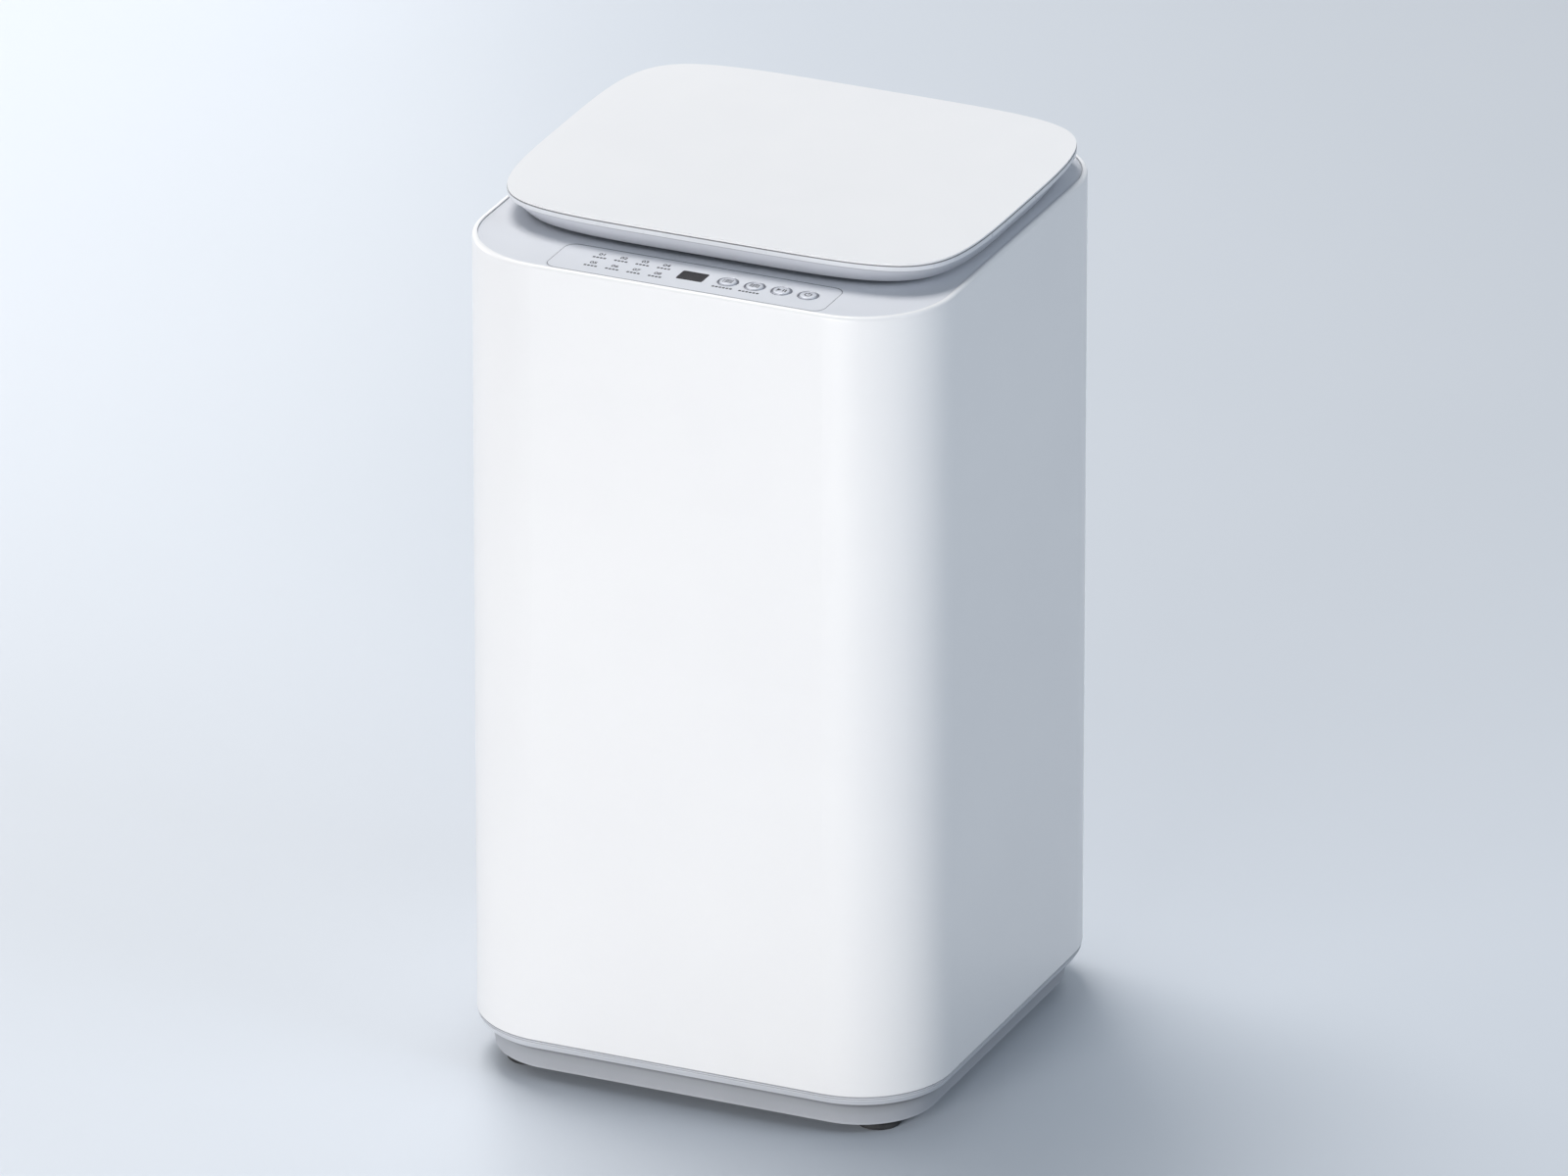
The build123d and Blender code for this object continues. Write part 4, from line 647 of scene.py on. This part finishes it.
outside = [(hose_radius, hose_low.z), (hose_radius, hose_low.z + cuff_height)]
for k in range(fold_count):
    fold_base = hose_low.z + cuff_height + k * fold_height
    outside += [(radius, fold_base + share * fold_height) for radius, share in fold_profile]
outside += [(hose_radius, hose_high.z - cuff_height), (hose_radius, hose_high.z)]
bm = bmesh.new()
inside = [(radius - hose_wall, height) for radius, height in outside]
hollow(bm, outside, inside, middle_of("drain_hose"), steps=40)
bellows = mesh_piece("drain_bellows", bm, hose_rubber)
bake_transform(bellows)
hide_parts("drain_hose")

tube_low, tube_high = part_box("pressure_tube")
tube_radius = (tube_high.x - tube_low.x) / 2
tube_bore = 1.5 * mm
tube_steps = 24
tube_levels = [tube_low.z + (tube_high.z - tube_low.z) * k / tube_steps for k in range(tube_steps + 1)]
bm = bmesh.new()
tube_outside = [(tube_radius, level) for level in tube_levels]
tube_inside = [(tube_bore, level) for level in tube_levels]
hollow(bm, tube_outside, tube_inside, middle_of("pressure_tube"), steps=20)
air_tube = mesh_piece("air_tube", bm, hose_rubber)
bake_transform(air_tube)
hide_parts("pressure_tube")

# The drive under the tub
# A cast housing holds the two bearings and the hollow spin shaft with its clutch drum. A belt
# turns the pulsator shaft through a large cast pulley from the small pulley on the motor.
cast_aluminium = Finish("cast_aluminium", (0.56, 0.57, 0.58), gloss=0.42, metal=0.95)
cast_aluminium.clouds(20, 4, (0.48, 0.49, 0.50), (0.62, 0.63, 0.64))
cast_aluminium.worn_edges((0.80, 0.81, 0.82), 0.6, 0.8)
cast_aluminium.sheen(1.2, 4, 0.34, 0.50)
cast_aluminium.grain(1.2, 4, 0.12)
dress(cast_aluminium, "bearing_housing", "drive_pulley", "motor_pulley")
dress(zinc_sheet, "drive_bracket")
dress(ground_steel, "spin_shaft", "clutch_drum", "upper_bearing", "lower_bearing", "pulsator_shaft")
dress(ground_steel, "motor_rotor", "lid_hinge_pin_left", "lid_hinge_pin_right", "pulsator_screw")

belt_rubber = Finish("belt_rubber", (0.022, 0.022, 0.024), gloss=0.30)
level_lines = (1, 1, 6)
belt_fibres = belt_rubber.clouds(
    1.2, 4, (0.016, 0.016, 0.018), (0.045, 0.045, 0.047), gloss=(0.22, 0.36), stretch=level_lines
)
belt_rubber.relief(belt_fibres, 0.1)
dress(belt_rubber, "drive_belt")

# The motor
# An induction motor hangs beside the housing in a painted steel shell. Its copper windings sit
# round the rotor.
motor_paint = Finish("motor_paint", (0.085, 0.09, 0.098), gloss=0.52)
motor_paint.clouds(20, 4, (0.070, 0.074, 0.082), (0.105, 0.11, 0.118))
motor_paint.worn_edges((0.45, 0.45, 0.46), 0.5, 0.5)
motor_paint.sheen(5, 5, 0.46, 0.58)
motor_paint.grain(1.2, 2, 0.03)
dress(motor_paint, "motor_housing")

copper_winding = Finish("copper_winding", (0.52, 0.22, 0.09), gloss=0.62, metal=0.8)
upright_lines = (1, 1, 0.15)
strands = copper_winding.clouds(
    0.9, 2, (0.36, 0.14, 0.05), (0.66, 0.30, 0.13), gloss=(0.55, 0.70), stretch=upright_lines
)
copper_winding.relief(strands, 0.3)
dress(copper_winding, "motor_windings")

# The basket and the balance ring
# A perforated stainless drum spins inside the tub. A hollow plastic ring with brine in it closes
# the drum's rim and keeps it steady.
stainless = Finish("stainless", (0.74, 0.74, 0.75), gloss=0.66, metal=0.72)
brushed_round = (1, 1, 60)
stainless.clouds(
    20, 5, (0.68, 0.68, 0.69), (0.80, 0.80, 0.81), gloss=(0.58, 0.72), stretch=brushed_round
)

basket_low, basket_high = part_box("basket")
basket_axis = middle_of("basket")
basket_radius = (basket_high.x - basket_low.x) / 2
basket_wall = 1.2 * mm
basket_round = 10 * mm
hole_radius = 2.2 * mm
hole_columns = 64
hole_rows = 24
perforated_low = basket_low.z + 12 * mm
perforated_high = basket_high.z - 30 * mm
cell_width = 2 * basket_radius * sin(pi / hole_columns)
cell_height = (perforated_high - perforated_low) / hole_rows


def perforated_cell(bm, width, height, radius, wall):
    """One square of sheet with a round hole, standing upright, its outer face at +X."""
    spokes = list(directions(12, start=0.5))

    def hole_ring(x):
        return [bm.verts.new((x, radius * along, radius * up)) for along, up in spokes]

    def edge_ring(x, breadth):
        ring = []
        for along, up in spokes:
            scale = 1 / max(abs(along), abs(up))
            ring.append(bm.verts.new((x, breadth / 2 * scale * along, height / 2 * scale * up)))
        return ring

    inner_width = width * (1 - wall / basket_radius)
    join_rings(bm, [edge_ring(0, width), hole_ring(0), hole_ring(-wall), edge_ring(-wall, inner_width)])


def rows_round_plan():
    """A tree that sets the pattern in level rows round an upright axis, facing outwards."""
    plan = NodePlan("rows_round_axis")
    columns, rows, seed = plan.sizes("Int", "columns", "rows", "seed")
    axis_x, axis_y, radius = plan.sizes("Float", "axis_x", "axis_y", "radius")
    lowest, pitch, stagger = plan.sizes("Float", "lowest_row", "row_pitch", "stagger")
    lean, weld = plan.sizes("Float", "random_lean", "weld_distance")
    maths = plan.maths

    points = plan.node("GeometryNodePoints", {"Count": maths("MULTIPLY", columns, rows)})
    index = plan.node("GeometryNodeInputIndex").outputs["Index"]
    row = maths("FLOOR", maths("DIVIDE", index, columns))
    column = maths("MODULO", index, columns)
    shifted = maths("ADD", column, maths("MULTIPLY", maths("MODULO", row, 2), stagger))
    angle = maths("MULTIPLY", maths("DIVIDE", shifted, columns), 2 * pi)
    x = maths("ADD", axis_x, maths("MULTIPLY", radius, maths("COSINE", angle)))
    y = maths("ADD", axis_y, maths("MULTIPLY", radius, maths("SINE", angle)))
    z = maths("ADD", lowest, maths("MULTIPLY", row, pitch))
    place = plan.node("ShaderNodeCombineXYZ", {"X": x, "Y": y, "Z": z}).outputs[0]
    settled = plan.node("GeometryNodeSetPosition", {"Geometry": points.outputs[0], "Position": place})
    leans = []
    for draw in range(2):
        random = plan.node("FunctionNodeRandomValue", {"Seed": maths("ADD", seed, draw)})
        leans.append(maths("MULTIPLY", maths("SUBTRACT", random.outputs[1], 0.5), lean))
    turns = {"X": 0.0, "Y": leans[0], "Z": maths("ADD", angle, leans[1])}
    turn = plan.node("ShaderNodeCombineXYZ", turns).outputs[0]
    rotation = plan.node("FunctionNodeEulerToRotation", {"Euler": turn}).outputs[0]
    real = plan.real(plan.set_on(settled.outputs[0], rotation))
    welded = plan.node("GeometryNodeMergeByDistance", {"Geometry": real, "Distance": weld})
    plan.finished(welded.outputs["Geometry"])
    return plan


bm = bmesh.new()
perforated_cell(bm, cell_width, cell_height, hole_radius, basket_wall)
cell_pattern = mesh_piece("cell_pattern", bm, stainless)
rows_round = rows_round_plan()
nothing = bpy.data.meshes.new("nothing")
basket_sheet = rows_round.grow(
    "basket_sheet",
    cell_pattern,
    stainless,
    nothing,
    columns=hole_columns,
    rows=hole_rows,
    axis_x=basket_axis.x,
    axis_y=basket_axis.y,
    radius=basket_radius * cos(pi / hole_columns),
    lowest_row=perforated_low + cell_height / 2,
    row_pitch=cell_height,
    weld_distance=0.05 * mm,
)
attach(basket_sheet, "basket_unit")
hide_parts("basket")

# The drum's floor is rolled up into its wall, and a plain band closes its rim.
shaft_hole = 8.15 * mm
rim_round = 0.6 * mm
rim_chamfer = 0.25 * mm


def floor_profile(lift):
    """The drum's floor from its shaft hole out and up, on its outside or lifted by the wall."""
    profile = [(shaft_hole, basket_low.z + lift)]
    for k in range(7):
        angle = pi / 2 * (k / 6 - 1)
        reach = basket_radius - basket_round + (basket_round - lift) * cos(angle)
        profile.append((reach, basket_low.z + basket_round + (basket_round - lift) * sin(angle)))
    return profile + [(basket_radius - lift, perforated_low)]


bm = bmesh.new()
hollow(bm, floor_profile(0), floor_profile(basket_wall), basket_axis, steps=128)
basket_floor = mesh_piece("basket_floor", bm, stainless)
basket_bore = basket_radius - basket_wall
rim_outside, rim_inside = [
    [(radius, perforated_high), (radius, basket_high.z - rim_round), (radius + slant, basket_high.z)]
    for radius, slant in ((basket_radius, -rim_chamfer), (basket_bore, rim_chamfer))
]
bm = bmesh.new()
hollow(bm, rim_outside, rim_inside, basket_axis, steps=128)
basket_rim = mesh_piece("basket_rim", bm, stainless)
for basket_part in (basket_floor, basket_rim):
    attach(basket_part, "basket_unit")

# The pulsator and the brush
# A ribbed plastic disc at the drum's floor turns to and fro. A hollow post stands on it, set all
# over with tufts of nylon bristle that scrub the shoes from inside the drum.
pulsator_plastic = Finish("pulsator_plastic", (0.26, 0.37, 0.50), gloss=0.55)
pulsator_plastic.clouds(30, 3, (0.24, 0.35, 0.48), (0.29, 0.40, 0.53))
pulsator_plastic.sheen(10, 5, 0.50, 0.62)
pulsator_plastic.grain(0.8, 2, 0.03)
dress(pulsator_plastic, "pulsator", "brush_core", "pump_impeller")

bristle_nylon = Finish("bristle_nylon", (0.36, 0.55, 0.78), gloss=0.45)
bristle_nylon.clouds(4, 3, (0.28, 0.47, 0.72), (0.50, 0.66, 0.84), gloss=(0.36, 0.54))

bristles_low, bristles_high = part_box("brush_bristles")
brush_axis = middle_of("brush_bristles")
bristle_root = 23.6 * mm
bristle_length = (bristles_high.x - bristles_low.x) / 2 - bristle_root - 0.4 * mm
bristle_width = 0.55 * mm
tuft_columns = 20
tuft_rows = 32
tuft_bristles = 9
tuft_flare = 2.6 * mm
tuft_edge = tuft_flare + bristle_width


def bristle_tuft(bm):
    """One tuft: a few three-sided bristles that spread a little towards their tips."""
    for lean_y, lean_z in [*directions(tuft_bristles - 1), (0, 0)]:
        rings = []
        for along, share in ((0, 0.35), (0.96, 1.0)):
            x = along * bristle_length
            y = tuft_flare * share * lean_y
            z = tuft_flare * share * lean_z
            rings.append(
                [
                    bm.verts.new((x, y + bristle_width * right, z + bristle_width * up))
                    for right, up in directions(3)
                ]
            )
        join_rings(bm, rings, capped=True)


bm = bmesh.new()
bristle_tuft(bm)
tuft_pattern = mesh_piece("tuft_pattern", bm, bristle_nylon, smooth=False)
brush_tufts = rows_round.grow(
    "brush_tufts",
    tuft_pattern,
    bristle_nylon,
    nothing,
    columns=tuft_columns,
    rows=tuft_rows,
    seed=7,
    axis_x=brush_axis.x,
    axis_y=brush_axis.y,
    radius=bristle_root,
    lowest_row=bristles_low.z + tuft_edge,
    row_pitch=(bristles_high.z - bristles_low.z - 2 * tuft_edge) / (tuft_rows - 1),
    stagger=0.5,
    random_lean=0.10,
)
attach(brush_tufts, "pulsator_unit")
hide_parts("brush_bristles")

# The circuit boards
# Green glass fibre boards. One carries the display and the switches under the panel, the other
# the transformer, the relay and the capacitor in the base.
board_thickness = 1.6 * mm
board_edge = 0.05 * mm
dark_moulding = (0.035, 0.035, 0.038)
for board_name in ("control_board", "power_board"):
    board_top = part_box(board_name)[0].z + board_thickness
    board = Finish(board_name + "_finish", (0.02, 0.11, 0.05), gloss=0.6)
    board.clouds(1.5, 3, (0.012, 0.085, 0.040), (0.03, 0.14, 0.062), gloss=(0.52, 0.66))
    above_board = board.spread(board.height_on_piece(), 0, 1, board_top, board_top + board_edge)
    board.mixed(above_board, board.so_far("Base Color"), dark_moulding)
    dress(board, board_name)

# The deck
# A light grey moulded plate lies inside the cabinet's rim, with the mouth and its collar in the
# middle. It has a fine satin texture.
deck_plastic = Finish("deck_plastic", (0.70, 0.725, 0.775), gloss=0.50)
deck_plastic.clouds(90, 3, (0.69, 0.715, 0.765), (0.712, 0.737, 0.785))
deck_plastic.sheen(20, 5, 0.46, 0.54)
deck_plastic.grain(0.7, 2, 0.02)
dress(deck_plastic, "top_deck")

# The control panel
# A printed film lies flush in the deck. A thin grey line runs round it, with the programme numbers
# at the left and a smoked window in the middle. Plain bars stand in for the printed words.
film = Finish("panel_film", (0.71, 0.735, 0.785), gloss=0.58)
film.clouds(50, 3, (0.70, 0.725, 0.775), (0.72, 0.745, 0.795))
film.sheen(12, 5, 0.54, 0.62)
film.grain(0.4, 1, 0.008)
dress(film, "control_overlay")

smoked_window = Finish("smoked_window", (0.018, 0.015, 0.015), gloss=0.86, specular=0.25)
smoked_window.clouds(10, 3, (0.015, 0.012, 0.012), (0.024, 0.02, 0.02))
smoked_window.sheen(4, 5, 0.82, 0.90)
dress(smoked_window, "display_window")

line_ink = Finish("line_ink", (0.22, 0.23, 0.26), gloss=0.45)
line_ink.clouds(1.2, 3, (0.20, 0.21, 0.24), (0.25, 0.26, 0.29), gloss=(0.40, 0.50))
text_ink = Finish("text_ink", (0.035, 0.038, 0.046), gloss=0.40)
text_ink.clouds(0.8, 3, (0.028, 0.030, 0.037), (0.055, 0.058, 0.068), gloss=(0.38, 0.50))

film_low, film_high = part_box("control_overlay")
film_top = film_high.z
print_depth = 0.08 * mm
print_height = 0.03 * mm


def rounded_outline(low, high, corner, steps=8):
    """The corner points of a rectangle with round corners, counter-clockwise."""
    right, back = high.x - corner, high.y - corner
    left, front = low.x + corner, low.y + corner
    points = []
    for quarter, (x, y) in enumerate(((right, back), (left, back), (left, front), (right, front))):
        for step in range(steps + 1):
            angle = (quarter + step / steps) * pi / 2
            points.append((x + corner * cos(angle), y + corner * sin(angle)))
    return points


def stamp(bm, outline, top):
    """A flat shape with a closed outline, raised to its top by a thin wall."""
    heights = (top - print_depth, top)
    rings = [[bm.verts.new((x, y, height)) for x, y in outline] for height in heights]
    join_rings(bm, rings, capped=True)


# The printed line is set back at the front, where the cabinet's rim would hide it.
film_corner = 10 * mm
front_setback = Vector((0, 0.65 * mm, 0))
line_widths = Vector((0.45 * mm, 1.15 * mm, 0))
line_low = film_low + front_setback
line_outer = rounded_outline(line_low, film_high, film_corner)
line_inner = rounded_outline(
    line_low + line_widths, film_high - line_widths, film_corner - line_widths.x
)
line_section = (
    (line_outer, -print_depth), (line_outer, print_height),
    (line_inner, print_height), (line_inner, -print_depth),
)
bm = bmesh.new()
line_rings = [
    [bm.verts.new((x, y, film_top + height)) for x, y in outline] for outline, height in line_section
]
join_rings(bm, line_rings + line_rings[:1])
panel_line = mesh_piece("panel_line", bm, line_ink, smooth=False)
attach(panel_line, "cabinet_unit")

# The programme numbers run from 01 to 08 in two rows of four.
number_size = 6.1 * mm
number_weight = 0.17 * mm
number_columns = [(-81.6 + 18.1 * column) * mm for column in range(4)]
number_rows = (-155.9 * mm, -173.1 * mm)
number_level = film_top + (print_height - print_depth) / 2
bm = bmesh.new()
for row, number_y in enumerate(number_rows):
    for column, number_x in enumerate(number_columns):
        letters = bpy.data.curves.new("letters", "FONT")
        letters.body = "0" + str(row * len(number_columns) + column + 1)
        letters.size = number_size
        letters.align_x = "CENTER"
        letters.align_y = "CENTER"
        letters.extrude = (print_depth + print_height) / 2
        letters.offset = number_weight
        letters.resolution_u = 3
        shape = mesh_of(add_object("letters", letters))
        for vertex in shape.vertices:
            vertex.co += Vector((number_x, number_y, number_level))
        bm.from_mesh(shape)
panel_numbers = mesh_piece("panel_numbers", bm, text_ink, smooth=False)
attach(panel_numbers, "cabinet_unit")

dash_half = Vector((2.25 * mm / 2, 2.4 * mm / 2))
dash_corner = 0.4 * mm
dash_pitch = 2.95 * mm
dashes_per_word = 4
dashes_per_note = 6
word_drop = 6.2 * mm
note_drop = 12 * mm
button_places = {name: middle_of(name + "_button") for name in ("program", "level", "start", "power")}


def dash_row(x, y, count):
    """The places of a row of dashes with its middle at a point."""
    return [(x + (k - (count - 1) / 2) * dash_pitch, y, film_top) for k in range(count)]


dash_places = []
for number_x in number_columns:
    for number_y in number_rows:
        dash_places += dash_row(number_x, number_y - word_drop, dashes_per_word)
for noted_button in ("program", "level"):
    noted = button_places[noted_button]
    dash_places += dash_row(noted.x, noted.y - note_drop, dashes_per_note)
bm = bmesh.new()
stamp(bm, rounded_outline(-dash_half, dash_half, dash_corner, steps=2), print_height)
dash_pattern = mesh_piece("dash_pattern", bm, text_ink, smooth=False)
panel_bars = on_marks.grow("panel_bars", dash_pattern, text_ink, marks_mesh(dash_places, (0, 0, 1)))
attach(panel_bars, "cabinet_unit")

# The buttons
# Four round caps in bright rings. Each ring is a rounded bead pressed into the film, and each cap
# has a crowned metal face with a small printed sign.
ring_chrome = Finish("ring_chrome", (0.26, 0.27, 0.30), gloss=0.66, metal=0.85)
ring_chrome.clouds(0.8, 3, (0.23, 0.24, 0.27), (0.30, 0.31, 0.34), gloss=(0.60, 0.70))
rings_low, rings_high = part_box("button_rings")
ring_outer = 8.6 * mm
ring_inner = 7.2 * mm
ring_middle = (ring_outer + ring_inner) / 2
ring_half = (ring_outer - ring_inner) / 2
ring_foot = rings_low.z - rings_high.z
ring_profile = [(ring_outer, ring_foot)]
for k in range(9):
    angle = pi * k / 8
    ring_profile.append((ring_middle + ring_half * cos(angle), ring_half * (sin(angle) - 1)))
ring_profile += [(ring_inner, ring_foot), ring_profile[0]]
bm = bmesh.new()
turned(bm, ring_profile, (0, 0), steps=56)
ring_pattern = mesh_piece("ring_pattern", bm, ring_chrome)
ring_places = [(place.x, place.y, rings_high.z) for place in button_places.values()]
ring_marks = marks_mesh(ring_places, (0, 0, 1))
ring_beads = on_marks.grow("ring_beads", ring_pattern, ring_chrome, ring_marks, smooth=True)
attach(ring_beads, "cabinet_unit")
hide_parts("button_rings")

cap_silver = Finish("cap_silver", (0.56, 0.58, 0.625), gloss=0.55, metal=0.45)
cap_silver.clouds(2, 3, (0.53, 0.55, 0.595), (0.59, 0.61, 0.655), gloss=(0.50, 0.60))
dress(cap_silver, "program_button", "level_button", "start_button", "power_button")
face_radius = 6.8 * mm
face_crown = 0.35 * mm
face_lift = 0.05 * mm
face_seat = 0.1 * mm
sign_height = 0.06 * mm


# The signs are drawn in millimetres from the middle of the cap.
def sign_bar(left, low, right, high):
    """A bar along x, cut into short steps so that it follows the crowned face."""
    steps = 8
    along = [left + (right - left) * k / steps for k in range(steps + 1)]
    return [(x, low) for x in along] + [(x, high) for x in reversed(along)]


def list_sign():
    """Three lines with a dot before each."""
    for level in (2.1, 0.0, -2.1):
        for left, right in ((-4.0, -2.9), (-2.1, 4.0)):
            yield sign_bar(left, level - 0.5, right, level + 0.5)


def water_sign():
    """Three waves, one above the other."""
    steps = 24
    for level in (2.5, 0.5, -1.5):
        crest = [(-4 + 8 * k / steps, level + 0.55 * sin(4 * pi * k / steps)) for k in range(steps + 1)]
        under = [(x, y - 0.95) for x, y in reversed(crest)]
        yield under + crest


def start_sign():
    """A triangle for start and two bars for a pause."""
    yield [(-3.7, -2.4), (0.2, 0.0), (-3.7, 2.4)]
    for left in (1.1, 3.0):
        yield [(left, -2.2), (left + 1.1, -2.2), (left + 1.1, 2.2), (left, 2.2)]


def power_sign():
    """An open circle with a line in its gap."""
    steps = 28
    gap = 0.16 * pi
    radius = 3.1
    outer = []
    for k in range(steps + 1):
        angle = pi / 2 + gap + (2 * pi - 2 * gap) * k / steps
        outer.append((radius * cos(angle), radius * sin(angle)))
    yield outer + [(x * 0.70, y * 0.70) for x, y in reversed(outer)]
    yield [(-0.5, 0.6), (0.5, 0.6), (0.5, 3.6), (-0.5, 3.6)]


def crown_drop(reach):
    """How far the crowned face of a cap has fallen at a distance from its middle."""
    return face_crown * (reach / face_radius) ** 2


button_signs = {"program": list_sign, "level": water_sign, "start": start_sign, "power": power_sign}
for name, place in button_places.items():
    cap_body = name + "_button_cap"
    cap_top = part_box(name + "_button")[1].z
    face_top = cap_top + face_crown + face_lift
    face_profile = [(0, cap_top - face_seat), (face_radius, cap_top - face_seat)]
    for k in range(7):
        reach = face_radius * (1 - k / 6)
        face_profile.append((reach, face_top - crown_drop(reach)))
    bm = bmesh.new()
    turned(bm, face_profile, place, steps=56)
    cap_face = mesh_piece(name + "_cap_face", bm, cap_silver)
    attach(cap_face, cap_body)

    bm = bmesh.new()
    for outline in button_signs[name]():
        stamp(bm, [(place.x + x * mm, place.y + y * mm) for x, y in outline], face_top + sign_height)
    for vertex in bm.verts:
        vertex.co.z -= crown_drop(hypot(vertex.co.x - place.x, vertex.co.y - place.y))
    cap_sign = mesh_piece(name + "_cap_sign", bm, text_ink, smooth=False)
    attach(cap_sign, cap_body)

# The lid
# A crowned white panel, a pearl grey edge band and a tapered grey tray are clipped together. The
# tray's two lugs turn on pins in the deck's ears.
lid_white = Finish("lid_white", (0.885, 0.89, 0.905), gloss=0.66, coat=0.3)
lid_white.clouds(250, 2, (0.852, 0.857, 0.873), (0.868, 0.873, 0.886))
lid_white.sheen(30, 6, 0.62, 0.70)
lid_white.grain(2.5, 1, 0.01)
dress(lid_white, "lid_top_panel")

lid_pearl = Finish("lid_pearl", (0.73, 0.75, 0.795), gloss=0.70, coat=0.3)
lid_pearl.clouds(50, 3, (0.715, 0.735, 0.78), (0.745, 0.765, 0.81))
# Painted shade: a dark line at the band's top where the seam to the white panel lies in shadow.
lid_pearl.shade_by_height((715.2, 0.95), (718.4, 1.0), (718.6, 0.42), (719.5, 0.30))
lid_pearl.sheen(20, 5, 0.66, 0.74)
dress(lid_pearl, "lid_rim_band")

tray_plastic = Finish("tray_plastic", (0.58, 0.60, 0.65), gloss=0.52)
tray_plastic.clouds(90, 3, (0.57, 0.59, 0.64), (0.59, 0.61, 0.66))
# Painted shade in the crease under the band. The strip above it is painted lighter, like the band, and the
# tray darkens towards its lower edge.
tray_plastic.shade_by_height(
    (701.0, 0.90), (708.0, 1.0), (713.2, 1.02), (713.6, 0.80), (714.3, 0.80), (714.6, 1.22), (715.2, 1.22)
)
tray_plastic.sheen(20, 5, 0.48, 0.56)
tray_plastic.grain(0.8, 2, 0.02)
dress(tray_plastic, "lid_underside")


# The studio
# A pale blue grey floor without an end. A soft lamp stands low in front, fainter ones at the right,
# the left and the back, and a large one hangs high above the machine's rear left.
def seen_or_mirrored(tree):
    """1 for the rays that show a backdrop: straight to the camera, mirrored or through glass."""
    rays = tree.node("ShaderNodeLightPath").outputs
    seen = rays["Is Camera Ray"]
    for way in ("Is Glossy Ray", "Is Transmission Ray"):
        seen = tree.node("ShaderNodeMath", {0: seen, 1: rays[way]}, operation="MAXIMUM").outputs[0]
    return seen


floor_reach = 40
floor_bounce = (0.42, 0.45, 0.49)
floor_paint = Finish("floor_paint", (0.612, 0.655, 0.712), gloss=0.55)
floor_paint.clouds(600, 2, (0.607, 0.651, 0.708), (0.617, 0.659, 0.716))
floor_paint.mixed(seen_or_mirrored(floor_paint), floor_bounce, floor_paint.so_far("Base Color"))

bm = bmesh.new()
floor_signs = ((-1, -1), (1, -1), (1, 1), (-1, 1))
bm.faces.new([bm.verts.new((x * floor_reach, y * floor_reach, 0)) for x, y in floor_signs])
floor = mesh_piece("floor", bm, floor_paint)


def soft_lamp(name, place, aim, width, height, power, colour):
    """A soft lamp of so many watts, turned towards the point that it lights."""
    lamp = add_object(name, bpy.data.lights.new(name, "AREA"))
    lamp.data.shape = "RECTANGLE"
    lamp.data.size = width
    lamp.data.size_y = height
    lamp.data.energy = power
    lamp.data.color = colour
    lamp.location = place
    lamp.rotation_euler = (Vector(place) - aim).to_track_quat("Z", "Y").to_euler()


machine_middle = Vector((0, 0, 0.38))
lid_middle = Vector((0, 0, 0.6))
soft_lamp("front_lamp", (-0.2, -2.9, 0.55), machine_middle, 1.5, 0.9, 51, (1.0, 0.97, 0.94))
soft_lamp("right_lamp", (2.7, -0.3, 2.0), machine_middle, 1.4, 1.0, 25, (0.82, 0.90, 1.0))
soft_lamp("left_lamp", (-3.0, 0.2, 1.2), machine_middle, 1.4, 1.2, 20, (1.0, 0.96, 0.94))
soft_lamp("back_lamp", (-2.2, 2.4, 0.8), machine_middle, 1.6, 1.0, 12, (0.96, 0.98, 1.0))
soft_lamp("top_lamp", (-1.9, 1.5, 5.4), lid_middle, 2.4, 2.4, 214, (1.0, 0.965, 0.935))

world = bpy.data.worlds.new("studio")
bpy.context.scene.world = world
world.use_nodes = True
sky = NodeTree(world.node_tree)
surround = sky.tree.nodes["Background"]
surround.inputs["Color"].default_value = (0.81, 0.91, 1.0, 1)
surround.inputs["Strength"].default_value = 0.20
backdrop = sky.node("ShaderNodeBackground", {"Color": (0.74, 0.80, 0.87, 1), "Strength": 1.0})
choices = {"Fac": seen_or_mirrored(sky), 1: surround.outputs[0], 2: backdrop.outputs[0]}
choose = sky.node("ShaderNodeMixShader", choices)
sky.tree.links.new(choose.outputs[0], sky.tree.nodes["World Output"].inputs["Surface"])

bpy.context.scene.view_settings.view_transform = "Standard"
